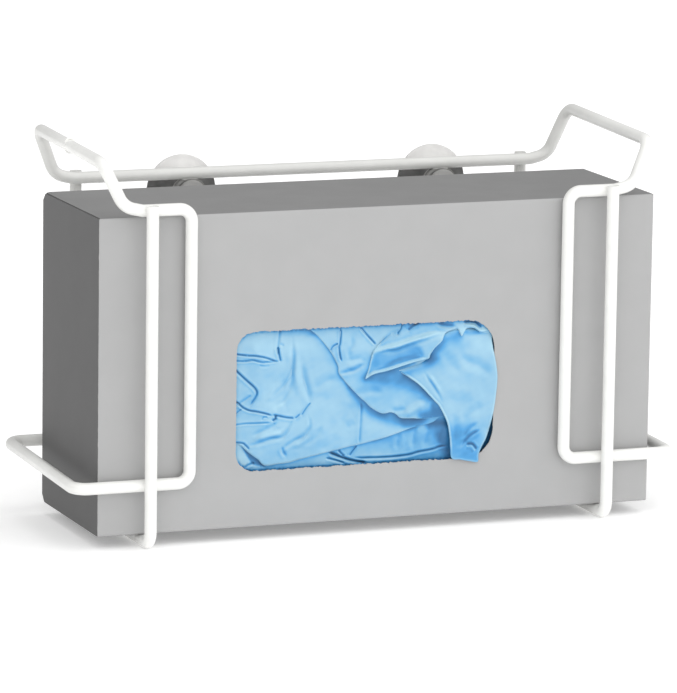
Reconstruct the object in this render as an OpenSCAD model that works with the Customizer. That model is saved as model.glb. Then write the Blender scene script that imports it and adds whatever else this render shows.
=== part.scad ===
// Wall or bench holder for one carton of disposable gloves.
//
// A closed loop of coated round wire grips the carton: it runs along the back
// above and below, rises into an ear at each end, drops down the front as a
// pair of brackets and returns round the sides.  Two U-shaped cradle wires are
// resistance-welded across it and carry the carton on their bottom rails.  Two
// suction cups button into small wire eyes under the top back rail.
//
// X runs along the carton, -Y is the side the gloves are pulled from, Z is up.
// The origin lies on the surface that the two cradle rails stand on, in the
// middle of the holder's width and depth.

/* [Wire] */
// Diameter of the coated wire
wire_d = 5; // [4:0.1:5.6]
// Centreline radius of the bends in the front brackets and cradles
bend_r = 5.2; // [4:0.1:7]
// Centreline radius of the bends at the top of the ears and the side corners
ear_bend_r = 6; // [4:0.1:7]
// Centreline radius of the bends at the feet of the ears
foot_bend_r = 8; // [5:0.1:9]
// How far two crossing wires sink into each other at a weld
weld_set = 0.7; // [0.3:0.05:1.2]
// Diameter of the coating that fills the corner round a weld
weld_d = 4.4; // [3:0.1:4.6]
// Length of a cradle wire's end beyond the middle of the wire it is welded to
end_stub = 3.9; // [3.2:0.1:8]

/* [Carton] */
// Length of the carton
carton_l = 241; // [225:1:280]
// Depth of the carton, front to back
carton_w = 73; // [60:1:110]
// Height of the carton
carton_h = 129.5; // [115:0.5:170]
// Thickness of the carton board
board = 0.6; // [0.4:0.05:0.8]
// Outer radius of the carton's folded edges
fold_r = 1.1; // [0.9:0.1:2]
// How far an end flap stops short of the carton's edges
flap_margin = 1.6; // [1:0.1:4]
// How far the carton lies to the right of the middle of the holder
carton_shift = 0.8; // [-2:0.1:2]

/* [Window] */
// Width of the opening that the gloves are pulled through
window_w = 112.4; // [100:0.2:130]
// Height of the opening
window_h = 57.5; // [50:0.5:70]
// Corner radius of the opening
window_r = 8; // [5:0.5:12]
// Radius of the opening's two right corners
window_right_r = 12; // [8:0.5:14]
// Middle of the opening, to the right of the carton's middle
window_shift = -5.6; // [-10:0.2:10]
// Middle of the opening, above the carton's bottom
window_up = 51.8; // [45:0.2:60]
// Depth of the torn perforation nibs round the opening
nib = 0.35; // [0.25:0.05:1]
// Distance from one perforation nib to the next
nib_pitch = 2.2; // [2:0.1:5]

/* [Holder] */
// How much of each end of the carton the front brackets cover, to their inner wires
bracket_cover = 38.75; // [30:0.25:50]
// From a bracket's inner wire out to the cradle wire
cradle_offset = 17.9; // [14:0.1:22]
// From the cradle wire out to the foot of the ear
foot_offset = 10.7; // [10:0.1:14]
// How far the foot of an ear rises above the rail
foot_rise = 1.8; // [0.6:0.1:3]
// How far an ear leans outward from its foot to its top
ear_splay = 8; // [4:0.1:12]
// Height of an ear's front corner above the rail
ear_h = 19.2; // [16:0.1:26]
// How much higher the back corner of an ear is than its front corner
ear_rise = 2.5; // [0:0.1:4]
// How far an ear's corners stand in from the front and back wires
ear_lean = 2.9; // [0:0.1:5]
// Middle of the lower front wires above the surface below
low_z = 25.9; // [20:0.1:32]
// How much higher the lower back wire is than the lower front wires
low_rise = 2.2; // [0:0.1:4]
// Room between the carton's end and the side wire
side_room = 7; // [4:0.1:12]
// Room between the carton's back and the back wires
back_room = 11.6; // [9:0.1:16]
// Room between the front wires and the carton
front_room = 0.6; // [0.3:0.05:1]
// Room between the top of the carton and the underside of the top wires
top_room = 0.4; // [0.2:0.1:3]
// Size of the butt-weld flash that closes the loop, above the wire's surface
flash = 0.6; // [0.3:0.05:1]

/* [Suction cups] */
// Diameter of a cup
cup_d = 30.4; // [26:0.2:34]
// Distance between the middles of the two cups
cup_spacing = 112.4; // [90:0.2:140]
// How far the pair of cups lies to the right of the middle
cup_shift = 4.8; // [-6:0.2:6]
// How far the middle of a cup lies below the middle of the top back rail
cup_drop = 8.7; // [8.1:0.1:9.1]
// Diameter of the wire of a cup's eye
eye_wire_d = 3; // [2.6:0.1:3.4]
// Inner diameter of a cup's eye
eye_bore = 9; // [8.6:0.1:9.4]
// Diameter of the button head that holds a cup in its eye
head_d = 12.6; // [11:0.1:14]
// Thickness of the button head
head_h = 4.2; // [3:0.1:5]
// Width of the flat rim that meets the wall
rim_w = 1.5; // [1:0.1:2.5]
// Thickness of the cup's rim
rim_t = 1.2; // [0.8:0.1:1.6]
// How far the cups' rims stand out behind the cradle wires
rim_out = 4; // [3:0.1:7]

/* [Gloves] */
// Thickness that one folded glove takes up
glove_t = 0.8; // [0.5:0.05:1]
// How far the gloves bulge through the opening, from where they lie behind the board
bulge = 3.6; // [2:0.1:4]
// Room left round the stack of gloves inside the carton
stack_room = 3; // [2:0.1:8]
// Room left above the stack of gloves inside the carton
stack_headroom = 9; // [4:0.5:16]

/* [Hidden] */

$fn = 48;

weld_gap = 0.02;    // between two solids that are fused at a weld
seat_gap = 0.1;     // between the carton and its rails, and under the gloves
cup_play = 0.3;     // between a cup and its eye
joint_gap = 0.06;   // between a bend and the straight wire beside it, inside the collar
joint_reach = 0.3;  // how far the collar that joins them reaches each way
joint_swell = 0.04; // how much larger than the wire that collar is
layer_gap = 0.3;    // between one glove and the next

wire_r = wire_d / 2;
cross_gap = wire_d - weld_set;               // centre to centre of two crossing wires
stub_round = wire_r * 0.4;                   // rounding of a coated wire end

// Holder, across X
bracket_x = carton_l / 2 - bracket_cover;
cradle_x = bracket_x + cradle_offset;
foot_x = cradle_x + foot_offset;
ear_x = foot_x + ear_splay;
side_x = carton_l / 2 + side_room + wire_r;
kick_x = cradle_x + wire_r + 0.2;            // where the rail starts to rise to an ear's foot

// Holder, front to back.  The whole depth runs from the cradle wires' front to the cups' rims.
loop_depth = wire_d + front_room + carton_w + back_room;
whole_depth = wire_r + cross_gap + loop_depth + cross_gap + wire_r + rim_out;
cradle_front_y = -whole_depth / 2 + wire_r;
front_y = cradle_front_y + cross_gap;
back_y = front_y + loop_depth;
cradle_back_y = back_y + cross_gap;
rim_y = whole_depth / 2;
box_front_y = front_y + wire_r + front_room;

// Heights
rail_z = wire_r;
box_z = wire_d + seat_gap;
top_z = box_z + carton_h + top_room + wire_r;
low_back_z = low_z + low_rise;
cup_z = top_z - cup_drop;

// Window, in the holder's frame
window_x = carton_shift + window_shift;
window_z = box_z + window_up;

// ---------------------------------------------------------------- wire tools

function unit(v) = v / norm(v);
function turn_at(a, p, b) = 180 - acos(unit(a - p) * unit(b - p));
function tangent_length(a, p, b, r) = r * tan(turn_at(a, p, b) / 2);

// A straight round rod from a to b
module rod(a, b, r) {
    along = b - a;
    length = norm(along);
    translate(a)
        rotate([0, acos(along[2] / length), atan2(along[1], along[0])])
            cylinder(h = length, r = r);
}

// A bend of centreline radius bend, at the corner p of the route a - p - b.  A short collar,
// a hair larger than the wire, joins each end of the bend to the straight wire beside it.
module elbow(a, p, b, bend, r) {
    u = unit(a - p);
    v = unit(b - p);
    turn = turn_at(a, p, b);
    run_out = bend * tan(turn / 2);
    centre = p + unit(u + v) * bend / cos(turn / 2);
    start = p + u * run_out;
    end = p + v * run_out;
    trim = joint_gap / bend * 180 / PI;
    e1 = unit(start - centre);
    n = unit(cross(v, u));
    e2 = cross(n, e1);
    multmatrix([[e1[0], e2[0], n[0], centre[0]],
                [e1[1], e2[1], n[1], centre[1]],
                [e1[2], e2[2], n[2], centre[2]],
                [0, 0, 0, 1]])
        rotate([0, 0, trim])
            rotate_extrude(angle = turn - 2 * trim) translate([bend, 0]) circle(r = r);
    rod(start - u * joint_reach, start + u * joint_reach, r + joint_swell);
    rod(end - v * joint_reach, end + v * joint_reach, r + joint_swell);
}

// Wire through a list of corners, each [point, bend radius]; a closed route joins up
module wire_route(corners, r, closed = false) {
    count = len(corners);
    last = closed ? count - 1 : count - 2;
    for (i = [0:last]) {
        p = corners[i][0];
        q = corners[(i + 1) % count][0];
        before = corners[(i + count - 1) % count][0];
        after = corners[(i + 2) % count][0];
        starts_free = !closed && i == 0;
        ends_free = !closed && i == last;
        next_bend = corners[(i + 1) % count][1];
        trim_p = starts_free ? 0 : tangent_length(before, p, q, corners[i][1]) + joint_gap;
        trim_q = ends_free ? 0 : tangent_length(p, q, after, next_bend) + joint_gap;
        rod(p + unit(q - p) * trim_p, q - unit(q - p) * trim_q, r);
        if (!ends_free) elbow(p, q, after, next_bend, r);
    }
}

// A wire end with its coating rounded over, standing on z = 0
module rounded_end(h, r, round_r) {
    rotate_extrude() {
        square([r - round_r, h]);
        square([r, h - round_r]);
        translate([r - round_r, h - round_r]) intersection() {
            circle(r = round_r);
            square(round_r);
        }
    }
}

// ---------------------------------------------------------------- perimeter wire

// Corners of the right half, from the top back rail round to the lower back wire
right_corners = [
    [[kick_x, back_y, top_z], foot_bend_r],
    [[foot_x, back_y, top_z + foot_rise], foot_bend_r],
    [[ear_x, back_y - ear_lean, top_z + ear_h + ear_rise], ear_bend_r],
    [[ear_x, front_y + ear_lean, top_z + ear_h], ear_bend_r],
    [[foot_x, front_y, top_z + foot_rise], foot_bend_r],
    [[kick_x, front_y, top_z], foot_bend_r],
    [[bracket_x, front_y, top_z], bend_r],
    [[bracket_x, front_y, low_z], bend_r],
    [[side_x, front_y, low_z], ear_bend_r],
    [[side_x, back_y, low_back_z], ear_bend_r]
];
function mirrored(corner) = [[-corner[0][0], corner[0][1], corner[0][2]], corner[1]];
right_count = len(right_corners);
loop_corners = [for (c = right_corners) c,
                for (i = [right_count - 1:-1:0]) mirrored(right_corners[i])];

// The raised ring of metal left where the two ends of the loop were butt-welded
module butt_weld() {
    front_corner = [-ear_x, front_y + ear_lean, top_z + ear_h];
    back_corner = [-ear_x, back_y - ear_lean, top_z + ear_h + ear_rise];
    along = back_corner - front_corner;
    translate((front_corner + back_corner) / 2)
        rotate([0, acos(along[2] / norm(along)), atan2(along[1], along[0])])
            rotate_extrude() translate([wire_r - flash / 2, 0]) circle(r = flash * 1.5);
}

module perimeter_wire() {
    color("white") {
        wire_route(loop_corners, wire_r, closed = true);
        butt_weld();
    }
}

// ---------------------------------------------------------------- cradle wires

// The stretches of the loop that a cradle wire crosses, as [height, y, side of the cradle wire]
function crossings() = [[top_z, front_y, -1], [low_z, front_y, -1],
                        [top_z, back_y, 1], [low_back_z, back_y, 1]];

// The loop's straight wires where they pass a cradle wire
module crossed_wires(reach) {
    for (c = crossings())
        rod([-reach, c[1], c[0]], [reach, c[1], c[0]], wire_r + weld_gap);
}

module cradle_wire() {
    leg_top = top_z + end_stub;
    end_h = wire_d;
    difference() {
        union() {
            wire_route([[[0, cradle_front_y, leg_top - end_h], 0],
                        [[0, cradle_front_y, rail_z], bend_r],
                        [[0, cradle_back_y, rail_z], bend_r],
                        [[0, cradle_back_y, leg_top - end_h], 0]], wire_r);
            for (y = [cradle_front_y, cradle_back_y])
                translate([0, y, leg_top - end_h]) rounded_end(end_h, wire_r, stub_round);
            for (c = crossings())
                rod([0, c[1] + c[2] * cross_gap, c[0]], [0, c[1], c[0]], weld_d / 2);
        }
        crossed_wires(wire_d);
    }
}

module left_cradle_wire() { color("white") translate([-cradle_x, 0, 0]) cradle_wire(); }
module right_cradle_wire() { color("white") translate([cradle_x, 0, 0]) cradle_wire(); }

// ---------------------------------------------------------------- suction cups

eye_r = (eye_bore + eye_wire_d) / 2;         // centreline radius of an eye
neck_r = eye_bore / 2 - cup_play;
cup_r = cup_d / 2;
neck_start = rim_y - back_y - eye_wire_d / 2 - cup_play;   // front of the bell, from the wall
head_start = rim_y - back_y + eye_wire_d / 2 + cup_play;   // back of the head, from the wall

function cup_x(side) = cup_shift + side * cup_spacing / 2;

// Wire ring under the rail, its top let into the rail at the weld
module cup_eye(side) {
    color("white") difference() {
        translate([cup_x(side), back_y, cup_z])
            rotate([90, 0, 0]) rotate_extrude() translate([eye_r, 0]) circle(d = eye_wire_d);
        rod([cup_x(side) - cup_d, back_y, top_z], [cup_x(side) + cup_d, back_y, top_z], wire_r + weld_gap);
    }
}

// Half section of a cup: x is the radius, y the distance from the wall
module cup_section() {
    bell_h = neck_start;
    dish_h = bell_h * 0.5;
    shoulder_r = neck_r + 1.6;
    // Bell: a dished shell that thins towards the rim
    difference() {
        polygon([[0, 0], [cup_r, 0], [cup_r, rim_t * 0.6], [cup_r - 0.5, rim_t],
                 [cup_r - rim_w, rim_t + 0.25], [cup_r * 0.78, bell_h * 0.32],
                 [cup_r * 0.58, bell_h * 0.56], [shoulder_r + 0.8, bell_h * 0.86],
                 [shoulder_r, bell_h], [0, bell_h]]);
        dish_r = ((cup_r - rim_w) * (cup_r - rim_w) + dish_h * dish_h) / (2 * dish_h);
        translate([0, dish_h - dish_r]) circle(r = dish_r, $fn = 96);
    }
    // Neck and rounded button head
    translate([0, dish_h + 1]) square([neck_r, head_start - dish_h]);
    head_r = head_d / 2;
    edge = head_h * 0.42;
    translate([0, head_start]) {
        square([head_r - edge, head_h * 0.9]);
        translate([0, head_h * 0.3]) square([head_r, head_h * 0.16]);
        square([head_r - edge, edge]);
        translate([head_r - edge, edge]) circle(r = edge);
        intersection() {
            square([head_r, head_h]);
            dome_r = (head_r * head_r + head_h * head_h) / (2 * head_h);
            translate([0, head_h - dome_r]) circle(r = dome_r, $fn = 96);
        }
    }
}

module suction_cup(side) {
    color("gainsboro")
        translate([cup_x(side), rim_y, cup_z]) rotate([90, 0, 0])
            rotate_extrude() intersection() {
                cup_section();
                square([cup_d, head_start + head_h]);
            }
}

module left_cup_eye() { cup_eye(-1); }
module right_cup_eye() { cup_eye(1); }
module left_suction_cup() { suction_cup(-1); }
module right_suction_cup() { suction_cup(1); }

// ---------------------------------------------------------------- carton

inner_l = carton_l - 4 * board;
inner_w = carton_w - 2 * board;
inner_h = carton_h - 2 * board;

module rounded_rectangle(w, h, r) {
    square([w - 2 * r, h], center = true);
    square([w, h - 2 * r], center = true);
    for (x = [-1, 1], y = [-1, 1])
        translate([x * (w / 2 - r), y * (h / 2 - r)]) circle(r = r);
}

// The torn outline of the window: a small nib of board at every step of the perforation
module window_outline() {
    a = window_w / 2;
    b = window_h / 2;
    l = window_r;
    r = window_right_r;
    function steps(length) = 2 * round(length / nib_pitch);
    function side(p, q, inward) = let (n = steps(norm(q - p)))
        [for (i = [0:n - 1]) p + (q - p) * (i + 0.5) / n + inward * (i % 2 == 0 ? 0 : nib)];
    function corner(c, radius, start) = let (n = steps(PI * radius / 2))
        [for (i = [0:n - 1])
            let (t = start + 90 * (i + 0.5) / n)
            c + (radius - (i % 2 == 0 ? 0 : nib)) * [cos(t), sin(t)]];
    polygon(concat(
        side([-a + l, -b], [a - r, -b], [0, 1]), corner([a - r, r - b], r, -90),
        side([a, r - b], [a, b - r], [-1, 0]), corner([a - r, b - r], r, 0),
        side([a - r, b], [l - a, b], [0, -1]), corner([l - a, b - l], l, 90),
        side([-a, b - l], [-a, l - b], [1, 0]), corner([l - a, l - b], l, 180)));
}

// Squares off a vertical front edge of the carton, to leave its folded radius
module fold_rounding() {
    translate([0, 0, -1]) linear_extrude(carton_h + 2) difference() {
        translate([-fold_r, -1]) square([fold_r + 1, fold_r + 1]);
        translate([-fold_r, fold_r]) circle(r = fold_r);
    }
}

// One end: the dust flaps folded in, and the outer flap glued over them from the front panel
module carton_end() {
    translate([carton_l / 2 - 2 * board, 0, 0])
        translate([0, board / 2, board / 2])
            cube([board, carton_w - board, carton_h - board]);
    translate([carton_l / 2 - board - 0.01, 0, flap_margin])
        cube([board + 0.01, carton_w - flap_margin, carton_h - 2 * flap_margin]);
    // the front panel's fold into the outer flap
    translate([carton_l / 2 - 2 * board, 0, flap_margin])
        cube([2 * board, board, carton_h - 2 * flap_margin]);
}

module carton() {
    seam_w = 0.4;
    seam_depth = board * 0.4;
    color("silver") translate([carton_shift, box_front_y, box_z]) difference() {
        union() {
            // The sleeve of four panels
            translate([-carton_l / 2 + board, carton_w / 2, carton_h / 2])
                rotate([90, 0, 90]) linear_extrude(carton_l - 2 * board) difference() {
                    rounded_rectangle(carton_w, carton_h, fold_r);
                    square([inner_w, inner_h], center = true);
                }
            carton_end();
            mirror([1, 0, 0]) carton_end();
        }
        translate([window_shift, board + 1, window_up]) rotate([90, 0, 0])
            linear_extrude(board + 2) window_outline();
        for (side = [0, 1]) mirror([side, 0, 0])
            translate([carton_l / 2, 0, 0]) fold_rounding();
        // Glued seam, where the back panel laps over the bottom's glue flap
        translate([-carton_l, carton_w - seam_depth, 2 * fold_r])
            cube([2 * carton_l, seam_depth + 1, seam_w]);
    }
}

// ---------------------------------------------------------------- gloves

// Heights are measured outward from the carton's front face.  Each glove lies on the one
// behind it, from the stack's face outward.  Edges and creases are [across, up] places from
// the middle of the drawing below, seen from the front.

layer = glove_t + layer_gap;
crumple = [0.8, 0.3, 0.3];                   // extra room that the creases of each glove take
behind_board = board + 0.5;                  // the outermost glove's depth behind the board
edge_run = 9;                                // over which the gloves rise into the window
edge_margin = 0.6;                           // clear of the board's edge before they rise
drawn_x = window_x + 0.8;
drawn_z = window_z;

function ramp(t) = let (c = min(1, max(0, t))) c * c * (3 - 2 * c);
function bell(t) = exp(-t * t);
function lerp(a, b, t) = a + (b - a) * t;

// 1 in the middle of the window, 0 at its edge and beyond
function in_window(p) =
    ramp((window_w / 2 - edge_margin - abs(drawn_x + p[0] - window_x)) / edge_run)
    * ramp((window_h / 2 - edge_margin - abs(p[1])) / edge_run);

// A crease is [half width, height, line]: a valley if the height is negative, or a ridge
function to_segment(p, a, b) =
    let (d = b - a, t = min(1, max(0, (p - a) * d / (d * d)))) norm(p - a - t * d);
function to_line(p, line) =
    min([for (i = [0:len(line) - 2]) to_segment(p, line[i], line[i + 1])]);
function creases_height(creases, p) =
    [for (c = creases) c[1] * bell(to_line(p, c[2]) / c[0])] * [for (c = creases) 1];

stack_creases = [
    [1.3, -1.2, [[-18, -22.4], [-7.9, -26.6], [0.1, -28.6]]],
    [1.2, -0.8, [[-7.3, -25.3], [7.5, -26.5], [22.3, -25.2], [37, -23.4]]],
    [1.4, -0.8, [[21.2, -15.2], [20.4, -17.7], [19.4, -21.8]]],
    [1.4, -0.8, [[27.1, -14.6], [25.9, -18.1], [25.1, -21.8]]],
    [1.8, -0.5, [[-54.8, -19.4], [-50.9, -22.9], [-46.6, -27.2]]]];
third_creases = [
    [1.3, -1.2, [[-60, 19.6], [-52.9, 18.2], [-45.2, 17.1], [-38.6, 16]]],
    [1.1, -0.8, [[-40.1, 23.5], [-39.4, 21.1], [-38.2, 16.4]]],
    [1.6, -0.9, [[-33, 24.8], [-32.9, 15.4], [-33.2, 5.9], [-35.2, 2.5], [-40.1, -1.8]]],
    [1.3, -0.7, [[-32.9, 15.4], [-34.1, 12.4], [-36.5, 10.4]]],
    [2.0, -0.5, [[-28.4, 13.7], [-27.4, 6.5], [-25.7, -1.4]]],
    [1.3, -1.2, [[-60, 15.5], [-55, 10.7], [-49.5, 5.7], [-48.3, 3.6], [-49, 1.4], [-51.7, -2.4]]],
    [1.0, -0.7, [[-50.5, 2.9], [-53, 1.2], [-56.5, -0.7]]],
    [1.2, -1.2, [[-60, 2], [-55.9, -0.9], [-51.4, -3.7], [-45, -5.2], [-41, -6.4], [-37, -7.1],
                 [-31.8, -7.9], [-29, -6.6], [-24.9, -1.7]]],
    [1.3, -0.7, [[-40.5, -6.3], [-40.1, -7.5], [-41.5, -9.2], [-48.9, -9.1], [-57.5, -9.3]]],
    [1.4, -0.8, [[-40, -9.4], [-42.9, -11.6], [-46.4, -12.6], [-48.8, -14.1]]],
    [1.4, -1.1, [[-51.2, -18.7], [-48.3, -17.7], [-42.4, -16.8], [-36.9, -14.9]]],
    [1.2, -0.7, [[-37.4, -19], [-36.6, -21.5], [-34.8, -23.7]]],
    [1.3, -0.8, [[-32.3, -9.1], [-33.7, -14.5], [-34.9, -17.5], [-31.9, -17.1]]],
    [1.3, -0.7, [[-26.4, -4.5], [-26.4, -7.6], [-27.1, -11.1]]],
    [1.6, -0.9, [[-19.9, -12.5], [-22, -14.7], [-23.5, -16.3], [-29.5, -15.9]]],
    [1.3, -0.9, [[-3.3, -1], [-3.1, -10.8], [-3.5, -20.2]]],
    [1.2, -0.8, [[-58.5, -15.6], [-54.5, -16.5], [-51, -19.5]]]];
second_creases = [
    [1.2, -1.0, [[-12.5, 30], [-12.7, 21.4], [-12.5, 16.5], [-11.5, 14.1]]],
    [1.1, -0.8, [[-16.4, 19], [-15.2, 20.8], [-13, 22]]],
    [1.5, -0.8, [[-7.4, 25.2], [-7.4, 20.8], [-8.5, 14.8]]],
    [1.2, -1.0, [[-4.8, 29.5], [-0.7, 24.5], [3.4, 20]]],
    [1.6, -0.8, [[-12.7, 9.5], [-8.4, 10.2], [-4.8, 11.7]]],
    [2.4, -0.8, [[6, 6.5], [13, 6.5], [19, 4.5]]],
    [1.9, 1.5, [[11, -8.6], [15, -7.8], [19.2, -5.8], [22.2, -3.9]]],
    [1.8, -0.8, [[22.5, -9.3], [28, -7.6]]]];
front_creases = [
    // the folded finger: its upper ridge, its lower lip and the hollow between them
    [1.5, 1.6, [[2.6, 17.4], [12.3, 19.4], [18.4, 21.2], [24.6, 22.6], [33.6, 23.9]]],
    [1.2, 1.8, [[-0.4, 7.6], [8.4, 10.2], [15.5, 12.2], [26, 14.2], [29, 18.2], [32, 21], [33.6, 23.9]]],
    [2.2, -0.8, [[3.4, 13], [14, 15.4], [26, 18.2]]],
    // the ruffle
    [1.2, 1.7, [[33.6, 23.9], [38.6, 25.6], [40.7, 23], [43.1, 25.7], [49.3, 23.7], [55, 24.4]]],
    [1.5, -0.8, [[31.6, 16.6], [36, 21], [40.6, 19.6], [45, 21.9], [50, 20.6]]],
    [1.1, -0.8, [[41.2, 28.6], [46.1, 28.2], [49.8, 26.2]]],
    [1.0, -0.8, [[4.6, 21.1], [6.7, 22.8], [9.4, 26]]],
    [1.1, -0.8, [[13.5, 30], [13.3, 26.5], [12.3, 24.1]]],
    [1.1, -0.8, [[16.8, 25.6], [22, 28.9]]],
    [1.1, -0.8, [[28.8, 28.4], [38.7, 27.6]]],
    // soft folds of the body and wrinkles at the cuff
    [1.6, -0.8, [[13, 10.2], [20, 11.2], [28, 12.2]]],
    [2.6, -0.8, [[40.2, 16], [43.3, 12.3], [49.6, 9.1], [55, 4.4]]],
    [1.5, -0.7, [[34.9, 14.5], [37.1, 11.5], [40.3, 8.1]]],
    [1.6, -0.8, [[37.9, -11.1], [38.3, -16.5], [38.2, -21.1]]],
    [1.2, -0.8, [[49.1, -13.9], [45.4, -16.3], [40.9, -20.7]]],
    [1.2, -0.8, [[50.4, -16.9], [45.5, -19.5], [42.7, -22], [40.9, -24.8]]],
    [1.1, -0.8, [[43.4, -23.2], [46.2, -23.3], [48.1, -25.6]]]];

// Where the stack's corner drops back and leaves a dark gap beside the front glove
gap_corner = [52, -22];
gap_depth = 7;
function corner_gap(p) =
    gap_depth * bell((p[0] - gap_corner[0]) / 9) * bell((p[1] - gap_corner[1]) / 9);

// The front glove's cuff is lifted out over the window's lower edge, and its side over the
// window's right edge
cuff_lift = 3.6;
side_lift = 2.3;
function lift(p) =
    max(cuff_lift * ramp((p[0] - 26) / 6) * ramp((-15 - p[1]) / 11),
        side_lift * ramp((p[0] - 48) / 7) * ramp((21 - abs(p[1] - 2)) / 9));

// Where the underside of a glove would lie if it had no room under it, counted from the stack
function bed(p, gloves) =
    -behind_board + bulge * in_window(p) - (3 - gloves) * layer
    - [for (k = [0:2]) k >= gloves ? crumple[k] : 0] * [1, 1, 1];
function stack_face(p) = bed(p, 0) + in_window(p) * creases_height(stack_creases, p);
function third_face(p) = bed(p, 1) + in_window(p) * max(-1.1, creases_height(third_creases, p));
function second_face(p) = bed(p, 2) + in_window(p) * max(-0.8, creases_height(second_creases, p));
function front_face(p) =
    bed(p, 3) + lift(p) + in_window(p) * max(-0.8, creases_height(front_creases, p));

// Point at t from 0 to 1 along a line of points
function along(points, t) =
    let (s = t * (len(points) - 1), i = min(floor(s), len(points) - 2))
    lerp(points[i], points[i + 1], s - i);

// A closed solid between two grids of points, the front one at lower y.  nu and nv are the
// numbers of cells across and up.
module slab(front, back, nu, nv) {
    count = (nu + 1) * (nv + 1);
    function at(i, j) = i + j * (nu + 1);
    faces = concat(
        [for (j = [0:nv - 1], i = [0:nu - 1]) [at(i, j), at(i, j + 1), at(i + 1, j + 1)]],
        [for (j = [0:nv - 1], i = [0:nu - 1]) [at(i, j), at(i + 1, j + 1), at(i + 1, j)]],
        [for (j = [0:nv - 1], i = [0:nu - 1]) [count + at(i, j), count + at(i + 1, j + 1), count + at(i, j + 1)]],
        [for (j = [0:nv - 1], i = [0:nu - 1]) [count + at(i, j), count + at(i + 1, j), count + at(i + 1, j + 1)]],
        [for (i = [0:nu - 1]) [at(i, 0), at(i + 1, 0), count + at(i + 1, 0)]],
        [for (i = [0:nu - 1]) [at(i, 0), count + at(i + 1, 0), count + at(i, 0)]],
        [for (i = [0:nu - 1]) [at(i, nv), count + at(i + 1, nv), at(i + 1, nv)]],
        [for (i = [0:nu - 1]) [at(i, nv), count + at(i, nv), count + at(i + 1, nv)]],
        [for (j = [0:nv - 1]) [at(0, j), count + at(0, j + 1), at(0, j + 1)]],
        [for (j = [0:nv - 1]) [at(0, j), count + at(0, j), count + at(0, j + 1)]],
        [for (j = [0:nv - 1]) [at(nu, j), at(nu, j + 1), count + at(nu, j + 1)]],
        [for (j = [0:nv - 1]) [at(nu, j), count + at(nu, j + 1), count + at(nu, j)]]);
    polyhedron(points = concat(front, back), faces = faces, convexity = 6);
}

// Left and right edges of the visible gloves, from the bottom up.  A corner falls on a row
// when the number of rows is a multiple of the number of its segments.
third_left = [[-44.5, -26.9], [-47.5, -24.1], [-52.9, -19.9], [-57.5, -16.8], [-62, -13],
              [-64, -4], [-65, 8], [-65, 21], [-65, 34]];
third_right = [[24.5, -14], [27, -12], [29, -9], [31, -5], [32, 0], [31, 8], [27, 18], [20, 27],
               [12, 34]];
second_left = [[13.6, -9.9], [9.5, -7.9], [3.5, -6.7], [-2, -2.2], [-7.6, 3.2], [-12.6, 9.2],
               [-13.9, 14], [-17.6, 20.2], [-22.6, 26], [-26.5, 31], [-28, 35]];
second_right = [[34, -9], [36, -6.5], [37.5, -3.5], [39, 0], [40.5, 4], [42, 8.5], [43.5, 13.5],
                [45, 19], [46, 24.5], [46, 30], [46, 35]];
front_left = [[37.2, -29.6], [36.6, -23.5], [35.6, -17.5], [33.9, -11.3], [30.7, -5.6],
              [27, -1.6], [22.8, 2.4], [18.4, 5.8], [12.5, 8.6], [5, 8.4], [-1.3, 6.5],
              [-0.2, 10.3], [0.8, 14.4], [1.9, 17.8], [4.8, 21.3], [9, 25.5], [13, 34]];
front_right = [[48.8, -30.6], [48.9, -27.6], [50.4, -24.4], [52.2, -20.8], [53.4, -17],
               [54.4, -13], [55.4, -8.5], [56.2, -4], [56.8, 1], [56.8, 5], [56.2, 9], [55.2, 13],
               [54.5, 17], [53.9, 21], [54, 25], [55.6, 29], [57, 34]];

// A folded glove between its two edges, over the face it lies on
module glove(left, right, nu, nv, which) {
    function face_at(p) = which == 3 ? front_face(p)
                        : which == 2 ? second_face(p)
                        : third_face(p);
    function back_at(p) = layer_gap + bed(p, which - 1) + (which == 3 ? lift(p) : 0);
    grid = [for (j = [0:nv], i = [0:nu]) lerp(along(left, j / nv), along(right, j / nv), i / nu)];
    slab([for (p = grid) [drawn_x + p[0], box_front_y - face_at(p), drawn_z + p[1]]],
         [for (p = grid) [drawn_x + p[0], box_front_y - back_at(p), drawn_z + p[1]]], nu, nv);
}

module third_glove() { color("lightskyblue") glove(third_left, third_right, 52, 32, 1); }
module second_glove() { color("lightskyblue") glove(second_left, second_right, 26, 30, 2); }
module front_glove() { color("lightskyblue") glove(front_left, front_right, 30, 48, 3); }

// The rest of the gloves, packed in the carton as one soft block
module glove_stack() {
    half_l = inner_l / 2 - stack_room;
    low = box_z + board + seat_gap;
    high = box_z + carton_h - board - stack_headroom;
    cells_x = 40;
    cells_z = 20;
    margin = 3;
    xs = concat([carton_shift - half_l],
                [for (i = [0:cells_x]) window_x + (window_w + 2 * margin) * (i / cells_x - 0.5)],
                [carton_shift + half_l]);
    zs = concat([low],
                [for (j = [0:cells_z]) window_z + (window_h + 2 * margin) * (j / cells_z - 0.5)],
                [high]);
    back = box_front_y + carton_w - board - seat_gap;
    function front_y(p) = box_front_y - stack_face(p) + corner_gap(p);
    color("lightskyblue") slab(
        [for (z = zs, x = xs) [x, front_y([x - drawn_x, z - drawn_z]), z]],
        [for (z = zs, x = xs) [x, back, z]], len(xs) - 1, len(zs) - 1);
}

perimeter_wire();
left_cradle_wire();
right_cradle_wire();
left_cup_eye();
right_cup_eye();
left_suction_cup();
right_suction_cup();
carton();
front_glove();
second_glove();
third_glove();
glove_stack();
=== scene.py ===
# %% [markdown]
# # A wire dispenser that holds a carton of disposable gloves
#
# The real object is a loop of white coated wire with two cradle wires welded across it, a
# folded board carton, two vinyl suction cups and a carton full of thin nitrile gloves.
# The frame below brings the measured solids. Each cell then models one piece over them.

import math

import bmesh
import bpy
import numpy as np
from mathutils import Matrix, Vector
from mathutils.geometry import delaunay_2d_cdt


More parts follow.
